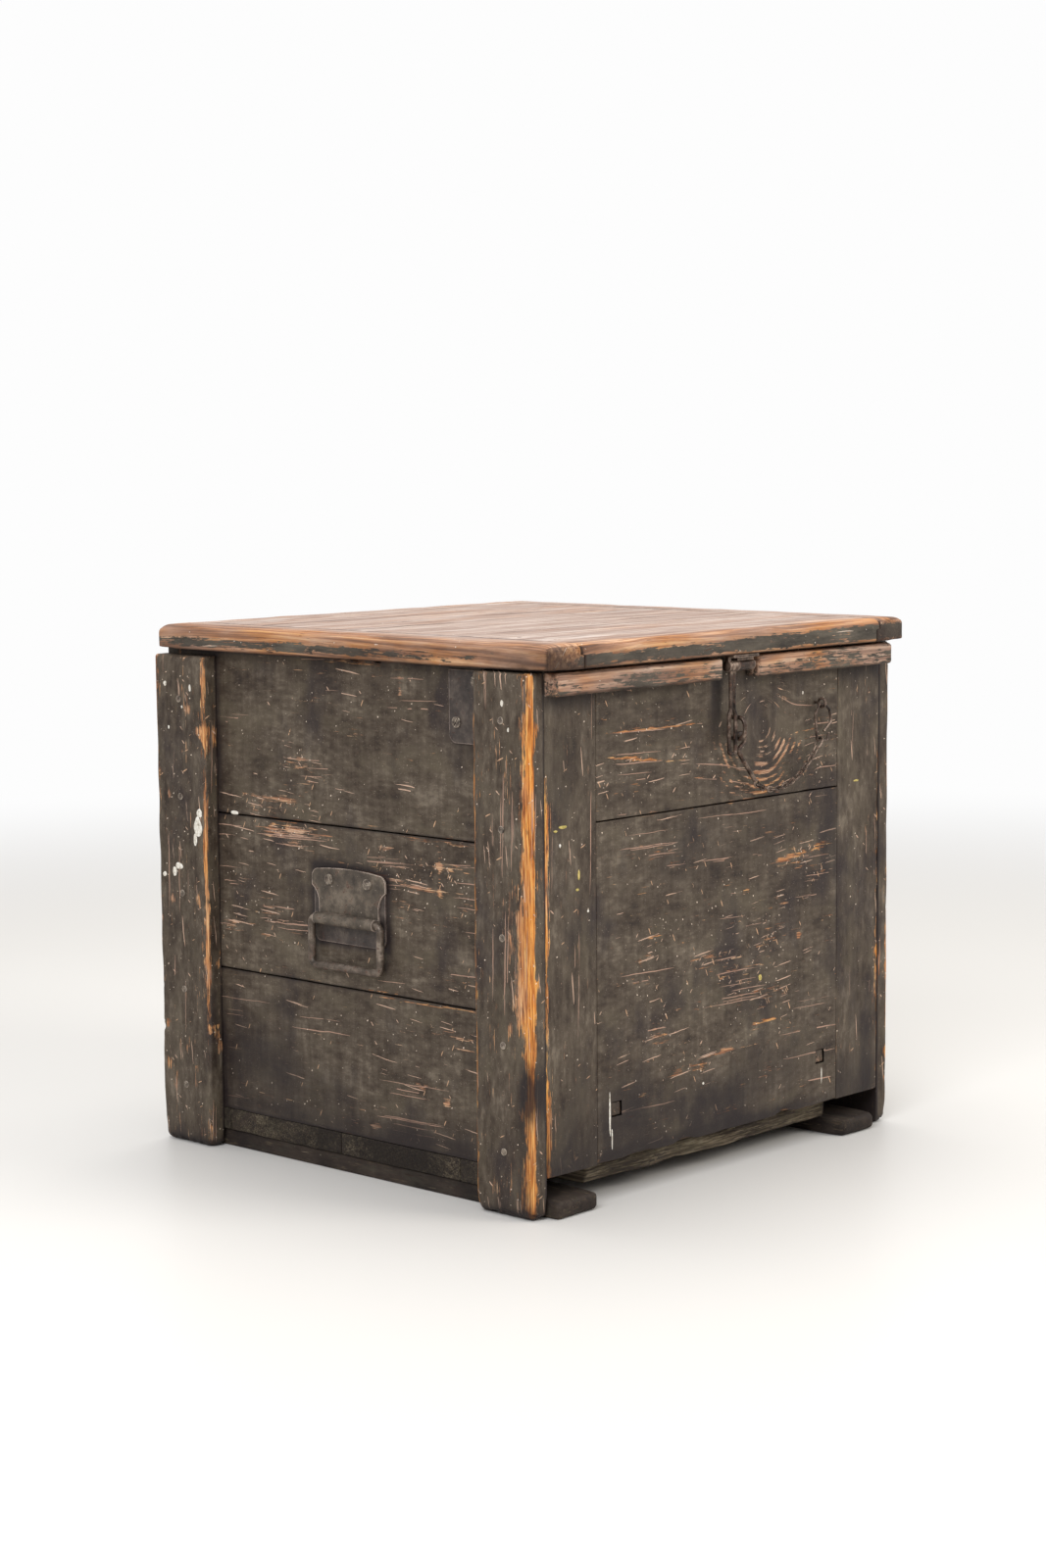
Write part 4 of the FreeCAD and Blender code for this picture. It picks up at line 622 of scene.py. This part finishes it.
def finishPlank(board, low, high, x, y, z):
    sign, outside, inside = board.sides(0)
    across = y if sign < 0 else plankFinish["opposite"] - y  # the other side is marked the other way round
    points = board.wornEdges(plankFinish) + board.waves(plankFinish)
    if board.node.endswith("upper_plank"):  # the rim is chipped
        chipped = ease(board.noise((9, 15, np.inf), 17), 0.45, 0.8) * bell(across, -30, 75)
        points[:, 2] -= plankFinish["chip depth"] * chipped * bell(z, high[2], 3.5)
        points[:, 0] -= sign * 1.4 * chipped * bell(z, high[2], 5) * outside
    drift = board.noise(55, 13)
    paint = 1.03 - 0.25 * bell(board.rim, 0, 1.8) * drift - spots(across, z, plankFinish["bare"]) * outside
    scratched = 0.06 + 0.18 * drift + 1.1 * spots(across, z, plankFinish["scratches"])
    # darker towards the bottom, painted shade under the lid's edge at the top, and the dark patches
    grime = 0.35 * bell(z, 40, 26) + 0.35 * bell(z, 517, 10) + spots(across, z, plankFinish["dark patches"])
    grime += 0.6 * bell(np.minimum(z - low[2], high[2] - z), 0, 2.2)
    # painted shadows beside the posts
    for place in plankFinish["post shadows"]:
        grime += 0.5 * bell(y, place, 4)
    # painted shadow round the handle
    beside = np.maximum(np.maximum(handleLow - board.start, board.start - handleHigh), 0)
    grime += 0.75 * bell(np.hypot(beside[:, 1], beside[:, 2]), 0, plankFinish["handle shadow"])
    tone = (0.25 + 0.4 * bell(board.rim, 0, 6)) * (1 - inside) - 0.05 * inside
    return points, paint * (1 - inside), dirtAndShadeBySide(grime, outside, inside), scratched * outside, tone


for side in sides:
    for level in ("lower", "middle", "upper"):
        node = f"{side}_{level}_plank"
        low, high = boxOf(node)
        high[2] -= plankFinish["seam gap"] * (level != "upper")
        low[2] += plankFinish["seam gap"] * (level != "lower")
        makeBoard(node, (low, high), 1, (5, 4.6, 2.4), softEnds, finishPlank, paintedPine)
print("side planks made")

# Front and back panels; marks: place along X and Z, reach both ways and strength
panelFinish = {
    "round": 0.9, "nick": 1.2, "hollow": 0.4, "ridge": 0.12, "stile wear": 6.0, "peg play": 0.9,
    "seam gap": 0.5, "torn edge": (2.4, 3.2), "knot": (62.0, 441.0), "knot radius": 26.0, "ring gap": 7.5,
    "grain flows from": 150.0, "knot lattice": 66, "knot cell": 1.3,
    # strength, direction in degrees, cosines where it starts and is full, distance and reach from the middle
    "knot wear": [(0.92, -58, 0.5, 0.85, 44, 30), (0.55, -135, 0.6, 0.95, 58, 16),
                  (0.35, 50, 0.8, 0.97, 40, 18)],
    "scratches": [(-105, 451, 86, 5, 0.7), (-110, 424, 70, 5, 0.7), (-150, 400, 40, 16, 0.9),
                  (-34, 406, 26, 10, 0.9), (100, 304, 40, 14, 0.8), (160, 300, 32, 28, 0.7),
                  (-109, 250, 38, 9, 0.9), (-26, 212, 38, 18, 1.0), (-131, 225, 28, 12, 0.8),
                  (45, 225, 70, 46, 0.65), (60, 170, 60, 28, 0.75), (-50, 109, 50, 10, 0.8),
                  (170, 400, 26, 46, 0.6), (0, 330, 160, 22, 0.3), (-90, 160, 60, 30, 0.4)],
    "bare": [(-103, 451.5, 84, 1.7, 0.6), (-112, 422, 60, 1.7, 0.55, -0.115), (-158, 402, 22, 2, 0.35),
             (-150, 394, 18, 1.8, 0.35), (-34, 407, 14, 2.5, 0.45), (-20, 398, 22, 1.8, 0.35),
             (-109, 250, 16, 2.5, 0.5), (-112, 243, 22, 1.8, 0.3), (125, 221, 4.5, 5, 0.7),
             (61, 186, 2.6, 2.6, 0.4), (-42, 109, 16, 3.5, 0.5), (-69, 109, 10, 4, 0.5),
             (68, 140, 24, 3, 0.5), (8, 121, 13, 3, 0.5), (140, 308, 30, 3, 0.45, 0.12),
             (100, 304, 14, 4, 0.5), (100, 296, 26, 1.8, 0.3), (166, 300, 14, 4, 0.3),
             (-26, 218, 18, 2.5, 0.4), (-22, 208, 26, 1.8, 0.35), (36, 172, 22, 3, 0.45),
             (30, 164, 20, 2, 0.3), (-131, 228, 14, 2, 0.35), (-120, 96, 18, 2.5, 0.35),
             (10, 60, 30, 3, 0.35), (60, 200, 26, 2, 0.3), (170, 234, 18, 2.5, 0.35),
             (158, 222, 24, 1.8, 0.3), (90, 236, 26, 1.8, 0.35), (-171, 84, 1.8, 40, 0.3)],
    # dark patches: stains, darker towards the bottom, and at (-10, 462) a painted shadow left of the hasp
    "dark patches": [(-60, 330, 70, 40, 0.3), (60, 330, 60, 30, 0.4), (20, 76, 130, 30, 0.6),
               (-150, 76, 44, 46, 0.75), (0, 39, 220, 12, 0.85), (-10, 462, 10, 50, 0.75),
               (-100, 300, 90, 60, 0.1), (130, 110, 60, 20, 0.1), (175, 330, 16, 60, 0.4),
               (66, 160, 16, 14, 0.4), (130, 160, 12, 16, 0.4)],
}


def finishStile(board, low, high, x, y, z):
    sign, outside, inside = board.sides(1)
    toPost = max(abs(low[0]), abs(high[0])) - np.abs(x)
    wear = bell(toPost, 0, panelFinish["stile wear"]) * ease(450 - z, 0, 60)
    drift = board.noise((275, 275, 55), 13)
    points = board.rounded(0.8 + 2.2 * wear * drift) + board.waves(panelFinish)
    points[:, 1] -= sign * 1.2 * wear * ease(board.noise((9, 9, 20), 19), 0.6, 0.85) * outside
    strength = 0.95 if low[0] < 0 and sign < 0 else 0.45
    paint = 1.02 - strength * wear * (0.35 + 0.65 * drift) - 0.1 * bell(board.rim, 0, 2)
    paint -= 0.2 * bell(x, low[0] + 10, 9) * bell(z, 90, 60) * (sign < 0)
    # darker towards the bottom, and painted shade under the ledge
    grime = 0.7 * bell(z, 38, 60) + 0.5 * bell(z, 488, 14)
    grime += 0.25 * ease(board.noise((22, 22, 22 / 0.3), 27), 0.5, 0.8)
    scratched = (0.04 + 0.22 * drift + 0.35 * wear) * outside
    tone = (0.3 + 0.7 * wear) * (1 - inside)
    return points, paint * (1 - inside), dirtAndShadeBySide(grime, outside, inside), scratched, tone


def finishPanelBoard(board, low, high, x, y, z):
    sign, outside, inside = board.sides(1)
    across = x if sign < 0 else -x * 0.9 + 14  # the back is marked like the front, the other way round
    points = board.wornEdges(panelFinish) + board.waves(panelFinish)
    drift = board.noise(50, 13)
    paint = 1.03 - 0.2 * bell(board.rim, 0, 2) * drift
    paint -= spots(across, z, panelFinish["bare"]) * outside
    scratched = 0.08 + 0.2 * drift + 1.1 * spots(across, z, panelFinish["scratches"])
    # painted shade under the ledge, and the dark patches
    grime = 0.35 * bell(z, 492, 8) + spots(across, z, panelFinish["dark patches"])
    tone = 0.35 + 0.4 * board.noise(40, 23)
    knotAcross, knotUp = panelFinish["knot"]
    if high[2] > knotUp:
        paint -= knotGrain(board) * outside * (sign < 0)
        tone *= 1 - bell(np.hypot(x - knotAcross, z - knotUp), 0, 80)
    else:  # the lower edge is torn
        torn = ease(board.noise((32, 16, 16), 21), 0.45, 0.8) * (0.4 + 0.6 * bell(x, 60, 130))
        lowEdge = bell(z, low[2], 7)
        inward, upward = panelFinish["torn edge"]
        points[:, 1] -= sign * inward * torn * lowEdge * outside
        points[:, 2] += upward * torn * bell(z, low[2], 4)
        paint -= 0.5 * lowEdge * torn
    grime = dirtAndShadeBySide(grime, outside, inside)
    return points, paint * (1 - inside), grime, scratched * outside, tone * (1 - inside)


def knotGrain(board):  # bends the grain round a knot, and gives the worn rings in it
    across, up = panelFinish["knot"]
    radius = panelFinish["knot radius"]
    dx = (board.start[:, 0] - across) / 1.12
    dz = board.start[:, 2] - up
    far = np.maximum(np.hypot(dx, dz), 0.5)
    angle = np.degrees(np.arctan2(dz, dx))
    share = np.where(far > radius, radius ** 2 / far ** 2, 1)
    cross = np.where(far > radius, dz * (1 - share), (far - radius) * 0.9)
    fade = ease(-far, -panelFinish["grain flows from"], -60)
    board.grainPlace[:, 0] += fade * dx * share
    board.grainPlace[:, 1] += fade * (cross - dz)
    wobble = 5 * (latticeNoise(board.start, 26, 3) - 0.5)
    rings = ease(np.cos(2 * math.pi * (far + wobble) / panelFinish["ring gap"]), -0.3, 0.6)
    chipped = 0.35 + 0.9 * ease(latticeNoise(board.start, 17, 5), 0.3, 0.7)
    wear = 0 * far
    for strength, direction, start, full, middle, reach in panelFinish["knot wear"]:
        turned = np.cos(np.radians(angle - direction))
        wear += strength * ease(turned, start, full) * bell(far, middle, reach)
    return wear * rings * chipped


for face in ("front", "back"):
    for side in sides:
        node = f"{face}_{side}_stile"
        makeBoard(node, boxOf(node), 2, (3, 5, 4.5), wornEnds, finishStile, paintedPine)
pegLow, pegHigh = boxOf("front_pegs")
pegSide = pegHigh[2] - pegLow[2]
pegPlaces = (pegLow[0], pegHigh[0] - pegSide)
play = panelFinish["peg play"]
stileInside = -boxOf("front_left_stile")[1][0]
knotLines = [np.arange(middle - panelFinish["knot lattice"], middle + panelFinish["knot lattice"],
                       panelFinish["knot cell"]) for middle in panelFinish["knot"]]
for face in ("front", "back"):
    for level in ("lower", "upper"):
        node = f"{face}_{level}_board"
        low, high = boxOf(node)
        low[0], high[0] = -stileInside, stileInside  # the tongues stay hidden in the stiles
        low[2] += panelFinish["seam gap"] * (level == "upper")
        high[2] -= panelFinish["seam gap"] * (level == "lower")
        cell, windows, lines = (5, 5, 3.4), (), {}
        if node == "front_upper_board":
            cell = (2.4, 5, 2.2)
            inside = (knotLines[1] > low[2] + 4) & (knotLines[1] < high[2] - 4)
            lines = {0: knotLines[0], 2: knotLines[1][inside]}
        if node == "front_lower_board":
            cell = (3.4, 5, 2.4)
            windows = [(x - play, x + pegSide + play, pegLow[2] - play, pegHigh[2] + play) for x in pegPlaces]
        makeBoard(node, (low, high), 0, cell, softEnds, finishPanelBoard, paintedPine,
                  windows, lines)

pegFinish = {"sunk": 1.0, "cell": 2.5, "round": 1.2, "hollow": 0.6,
             "looks": {"paintLeft": 0.82, "grime": 0.35, "scratched": 0.2, "tone": 0.3}}


def makePegs():
    points, quads, count = [], [], 0
    for x in pegPlaces:
        low = np.array([x, pegLow[1] + pegFinish["sunk"], pegLow[2]])
        high = np.array([x + pegSide, pegHigh[1], pegHigh[2]])
        axes = [latticeLines(low[a], high[a], pegFinish["cell"], softEnds) for a in range(3)]
        start, faces = boxSurface(*axes)
        moved = roundBox(start, low, high, pegFinish["round"])
        moved[:, 1] += latticeNoise(start, 5, 3) * pegFinish["hollow"] * bell(start[:, 1], low[1], 2)
        points.append(moved)
        quads.append(faces + count)
        count += len(moved)
    points = np.concatenate(points)
    attributes = {key: 0 * points[:, 0] + value for key, value in pegFinish["looks"].items()}
    attributes["grainPlace"] = points[:, [1, 2, 0]] * mm
    addPiece("front_pegs_worn", points, np.concatenate(quads), "front_pegs", attributes, paintedPine)


makePegs()
print("panels made")

# Lid; cracks: place along Y, where they start and end along X, depth
lidFinish = {
    "edge round": 9.0, "corner round": 13.0, "under round": 2.0, "joint round": 1.8, "joint step": 5.0,
    "joint reach": 14, "hollow": 0.5, "ridge": 0.3, "rim wear": 0.7, "ring drift": 26,
    "cracks": [(81, -227, -90, 3.0), (104, -40, 120, 2.0), (-96, -190, 40, 2.6), (-70, 60, 226, 1.8),
               (-146, -60, 226, 2.6), (-180, -226, -120, 1.8), (205, -226, -30, 2.6), (228, 40, 226, 2.0),
               (58, 30, 226, 2.2), (-30, -226, -40, 1.6)],
}
crackLines = [y + shift for y, *_ in lidFinish["cracks"] for shift in (-2.2, -1.1, -0.4, 0.4, 1.1, 2.2)]
lidLow = np.minimum(boxOf("left_lid_cleat")[0], boxOf("front_lid_board")[0])
lidHigh = np.maximum(boxOf("right_lid_cleat")[1], boxOf("rear_lid_board")[1])
lidMiddle = (lidLow + lidHigh) / 2
lidJoint = -boxOf("left_lid_cleat")[1][0]


def finishLid(board, low, high, x, y, z):
    start = board.start
    alongX = board.grain == 0
    across = np.abs(x)
    toSide = lidHigh[0] - across
    toEnd = np.minimum(y - lidLow[1], lidHigh[1] - y)
    toRim = np.minimum(toSide, toEnd)
    up, down = board.facing(2, 1), board.facing(2, -1)
    level = (z - lidLow[2]) / (lidHigh[2] - lidLow[2])

    # the whole lid's worn outline over each board's own edges
    edgeRound, underRound = lidFinish["edge round"], lidFinish["under round"]
    corner = ease(34 - toSide, 0, 20) * ease(34 - toEnd, 0, 20)
    top = ease(z, lidMiddle[2] - 4, lidMiddle[2] + 4)
    wave = latticeNoise(start, 36, 5)
    plan = (underRound + (edgeRound - underRound) * top) * (0.6 + 0.8 * wave)
    plan += (lidFinish["corner round"] - plan) * corner
    rise = np.where(top > 0.5, edgeRound * (0.6 + 0.7 * wave), underRound)
    points = board.rounded(lidFinish["joint round"] + 0 * x)
    points = roundBox(points, lidLow, lidHigh, np.stack([plan, plan, rise], 1)) + board.waves(lidFinish)
    points[:, 2] -= up * lidFinish["rim wear"] * bell(toRim, 0, 16) * (0.4 + latticeNoise(start, 24, 8))
    aside = np.clip(1 - np.abs(across - lidJoint) / lidFinish["joint reach"], 0, 1)
    aside *= ease(z, lidMiddle[2] + 0.5, lidMiddle[2] + 1.5)
    points[:, 0] += np.sign(x) * lidFinish["joint step"] * aside

    # cracks, seams and the cleats' end grain
    edge = 1 - ease(toRim, 0.5, 4)
    onFront = ease(lidLow[1] + 6 - y, 0, 6)
    cracked = 0 * x
    seam = 0 * x
    if alongX:
        bend = 1.6 * (latticeNoise(start, (60, np.inf, np.inf), 6) - 0.5)
        for middle, first, last, depth in lidFinish["cracks"]:
            part = ease(x, first, first + 40) * ease(-x, -last, 40 - last) * up
            points[:, 2] -= depth * part * bell(y, middle + bend, 1.0)
            cracked = np.maximum(cracked, part * bell(y, middle + bend, 1.7))
        seam = bell(np.minimum(high[1] - y, y - low[1]), 0, 2)
    seam = np.maximum(seam, bell(across, lidJoint, 2.5)) * (toRim > 12) * (up + 0.8 * down)
    seam = np.maximum(seam, bell(across, lidJoint, 1.6) * edge)
    endGrain = 0.3 * onFront * edge * (not alongX)

    # the old paint is left low on the edges: in a band in front, here and there on the left
    drift = latticeNoise(start, 40, 14)
    towardsRight = ease(x, -250, 270)
    band = ease(level, 0.02, 0.3) * (1 - ease(level, 0.4 + 0.22 * towardsRight, 0.66 + 0.22 * towardsRight))
    nearCorner = bell(x, lidLow[0], 40) * bell(y, lidLow[1], 90)
    onLeft = ease(y, -170, -40) * ease(264 - y, 0, 34) * ease(-x, 200, 260)
    share = 0.5 + 0.45 * towardsRight + 0.25 * onFront * (1 - towardsRight)
    paint = edge * band * share * (0.4 + 1.1 * drift) + 0.35 * edge * onFront * (1 - level)
    paint += 0.3 * edge * onLeft * bell(level, 0.36, 0.24) * (0.3 + drift)
    paint *= 1 - 0.85 * nearCorner
    paint += 0.6 * bell(x, 272, 16) * bell(y, lidLow[1], 26) * up
    paint = np.clip(paint, 0, 0.9) * (1 - down) + 0.1 * down
    grime = 0.45 * bell(toRim, 2, 6) * (1 - level) + 0.4 * down + 0.2 * nearCorner * edge
    grime += 0.9 * seam + endGrain + 0.9 * cracked + 0.35 * up * latticeNoise(start, (125, 50, 50), 33) ** 2
    tone = 1.1 * bell(toRim, 0, 20) + 0.3 * latticeNoise(start, (40 / 0.3, 40, 40), 31) ** 2
    tone += 0.04 * (board.seed % 7) + 0.4 * down
    # growth rings that wander, close up and open again
    wander = latticeNoise(board.grainPlace, (80 / 0.3, 80, 80), board.seed + 41)
    board.grainPlace[:, 1] += lidFinish["ring drift"] * wander
    return points, paint, grime, 0.5 * (1 - down), np.clip(tone, 0, 1)


for node in [f"{side}_lid_cleat" for side in sides] + [f"{row}_lid_board" for row in rows]:
    low, high = boxOf(node)
    grain, cell, lines = 1, (3.2, 4, 3), {2: (lidMiddle[2] + 0.5, lidMiddle[2] + 1.5)}
    if node.endswith("board"):
        grain, cell = 0, (5, 4, 3)
        low[0], high[0] = -lidJoint, lidJoint
        lines[1] = [y for y in crackLines if low[1] + 4 < y < high[1] - 4]
    makeBoard(node, (low, high), grain, cell, wornEnds, finishLid, weatheredPine, lines=lines)
print("lid made")

# Moulding under the lid
ledgeFinish = {"round": 4.0, "nick": 1.6, "hollow": 0.35, "ridge": 0.3}


def finishLedge(board, low, high, x, y, z):
    ahead = ease(high[1] - y, 0, high[1] - low[1])
    wave = board.noise(26)
    bite = ease(board.noise(9, 4), 0.7, 0.9)
    size = 0.8 + ahead * (ledgeFinish["round"] * (0.5 + 0.9 * wave) + ledgeFinish["nick"] * bite)
    points = board.rounded(size) + board.waves(ledgeFinish)
    under = board.facing(2, -1)
    paint = 0.38 + 0.48 * board.noise((52, 26, 26), 13) - 0.3 * bell(z, high[2] - 3, 5) + 0.15 * under
    grime = 0.4 * under + 0.16 + 0.35 * bell(board.rim, 0, 2) * wave
    return points, paint, grime, 0.5, 0.5 + 0.5 * board.noise(22, 5)


for side in sides:
    node = f"{side}_ledge"
    makeBoard(node, boxOf(node), 0, (3.4, 2.5, 2.5), wornEnds, finishLedge, weatheredPine)

# Floor boards and runners
floorFinish = {"round": 1.6, "nick": 2.0, "hollow": 0.5, "ridge": 0.35, "waney": 8.0, "lip": 8.0,
               "lip height": 18.5, "notch": 45.0, "notch wall": 0.02}
skidFinish = {"round": 4.5, "least round": 1.2, "hollow": 0.5, "ridge": 0.35}
caseSide = -boxOf("left_upper_plank")[0][0]


def finishFloor(board, low, high, x, y, z):
    points = board.wornEdges(floorFinish) + board.waves(floorFinish)
    if board.node in ("front_floor_board", "rear_floor_board"):  # a ragged lip, and a notch behind each stile
        outer, inner = (low[1], high[1]) if low[1] < 0 else (high[1], low[1])
        sign = np.sign(inner - outer)
        slope = (z - low[2]) / (high[2] - low[2])
        waney = floorFinish["waney"] * board.noise((40, 14, 14), 4) * (1.1 - slope) + 1.5 * board.noise(7, 6)
        between = np.abs(x) < stileInside
        lip = floorFinish["lip"] * ease(low[2] + floorFinish["lip height"] - z, 0, 2) * between
        points[:, 1] += sign * (waney - lip) * bell(y, outer, 6)
        share = (inner - points[:, 1]) / (inner - outer)
        notched = inner - share * (abs(inner - outer) - floorFinish["notch"]) * sign
        points[:, 1] = np.where(between, points[:, 1], notched)
    grime = 0.18 + 0.45 * board.noise(50, 3) + 0.25 * bell(np.abs(x), caseSide, 14)
    return points, 0.15 + 0.5 * board.noise(34), grime, 0.4, 0.4


def finishSkid(board, low, high, x, y, z):
    toEnd = np.minimum(y - low[1], high[1] - y)
    wave = board.noise(22)
    size = skidFinish["least round"] + skidFinish["round"] * bell(toEnd, 0, 14) * (0.5 + wave)
    points = board.rounded(size) + board.waves(skidFinish)
    return points, 0.6 + 0.3 * wave, 0.35 + 0.3 * wave, 0.4, 0.8


wall = floorFinish["notch wall"]
notchLines = [side * (stileInside + shift) for side in (-1, 1) for shift in (-wall, wall)]
for row in rows:
    node = f"{row}_floor_board"
    lines = {0: notchLines} if row in ("front", "rear") else {}
    makeBoard(node, boxOf(node), 0, (5, 5, 4), softEnds, finishFloor, stainedPine, lines=lines)
for side in sides:
    node = f"{side}_skid"
    makeBoard(node, boxOf(node), 1, (4, 5, 3), wornEnds, finishSkid, stainedPine)
print("ledges, floor and runners made")

# Ironwork keeps its modelled shape; the end of a node's name, or else its first material, picks the iron
ironByName = {"_shield": sheetIron, "_plate": darkSheetIron, "_bail": handWornIron}
ironByMaterial = {"iron_fittings": forgedIron, "steel_fasteners": turnedSteel}
for name, node in nodes.items():
    slot = node.material_slots[0]
    iron = [material for ending, material in ironByName.items() if name.endswith(ending)]
    iron += [material for given, material in ironByMaterial.items() if slot.material.name.startswith(given)]
    if iron:
        slot.material = iron[0]
print("ironwork finished")

# Floor, light and camera
stageLook = {"radius": 7.0, "floor": "#dad5ce", "background": "#fdfdfd", "fade from": 1.3, "fade to": 3.2,
             "sky": "#f6f8fb", "sky strength": 0.47}


def makeStage():
    bpy.ops.mesh.primitive_circle_add(vertices=96, radius=stageLook["radius"], fill_type="NGON")
    floor = bpy.context.object
    floor.name = "studioFloor"
    material = bpy.data.materials.new("polishedPaleFloor")
    add = emptyTree(material)
    far = add("VectorMath LENGTH", add("TexCoord").outputs["Object"])
    fade = add("MapRange SMOOTHSTEP", far, stageLook["fade from"], stageLook["fade to"])
    surface = add("BsdfPrincipled", stageLook["floor"], Roughness=0.45, **{"Specular IOR Level": 0.3})
    glow = add("Emission", stageLook["background"], 1.0)
    seen = add("Math MULTIPLY", add("LightPath").outputs["Is Camera Ray"], fade)
    add("OutputMaterial", add("MixShader", seen, surface, glow))
    floor.data.materials.append(material)


def makeWorld():
    world = bpy.data.worlds.new("softWhiteRoom")
    bpy.context.scene.world = world
    add = emptyTree(world)
    path = add("LightPath")
    shown = path.outputs["Is Camera Ray"]
    for ray in ("Is Glossy Ray", "Is Transmission Ray"):
        shown = add("Math MAXIMUM", shown, path.outputs[ray])
    light = add("Background", stageLook["sky"], stageLook["sky strength"])
    back = add("Background", stageLook["background"], 1.0)
    add("OutputWorld", add("MixShader", shown, light, back))


# place, watts, size in metres, colour; all look at the chest's middle
lamps = {"windowLeft": ((-2.6, -1.3, 2.2), 78, 1.6, "#f2f7ff"),
         "windowFront": ((1.3, -3.0, 2.2), 62, 1.7, "#fffdfa"),
         "ceiling": ((0.2, 0.4, 3.2), 72, 2.2, "#fbfdff")}


def makeLamps():
    target = Vector((0, 0, 0.25))
    for name, (place, power, size, colour) in lamps.items():
        lamp = bpy.data.lights.new(name, "AREA")
        lamp.energy = power
        lamp.color = hexColour(colour)[:3]
        lamp.size = size
        holder = bpy.data.objects.new(name, lamp)
        bpy.context.scene.collection.objects.link(holder)
        holder.location = place
        holder.rotation_euler = (target - Vector(place)).to_track_quat("-Z", "Y").to_euler()


# place in metres, angles in degrees, lens in mm; found from the chest's corners in the photograph
cameraPlace = {"place": (-2.26932, -2.08611, 0.72781), "yaw": -47.27, "down": 6.63, "roll": -0.44,
               "lens": 68.0}


def makeCamera():
    yaw, down, roll = (math.radians(cameraPlace[key]) for key in ("yaw", "down", "roll"))
    back = Vector((math.sin(yaw) * math.cos(down), -math.cos(yaw) * math.cos(down), math.sin(down)))
    right = Vector((math.cos(yaw), math.sin(yaw), 0))
    up = back.cross(right)
    turnedRight = math.cos(roll) * right + math.sin(roll) * up
    turnedUp = -math.sin(roll) * right + math.cos(roll) * up
    camera = bpy.data.cameras.new("camera")
    camera.sensor_fit = "VERTICAL"
    camera.sensor_height = 36.0
    camera.lens = cameraPlace["lens"]
    holder = bpy.data.objects.new("camera", camera)
    bpy.context.scene.collection.objects.link(holder)
    holder.matrix_world = Matrix((turnedRight, turnedUp, back)).transposed().to_4x4()
    holder.location = cameraPlace["place"]
    bpy.context.scene.camera = holder


makeStage()
makeWorld()
makeLamps()
makeCamera()
bpy.context.scene.view_settings.view_transform = "Standard"
print("stage, light and camera ready")
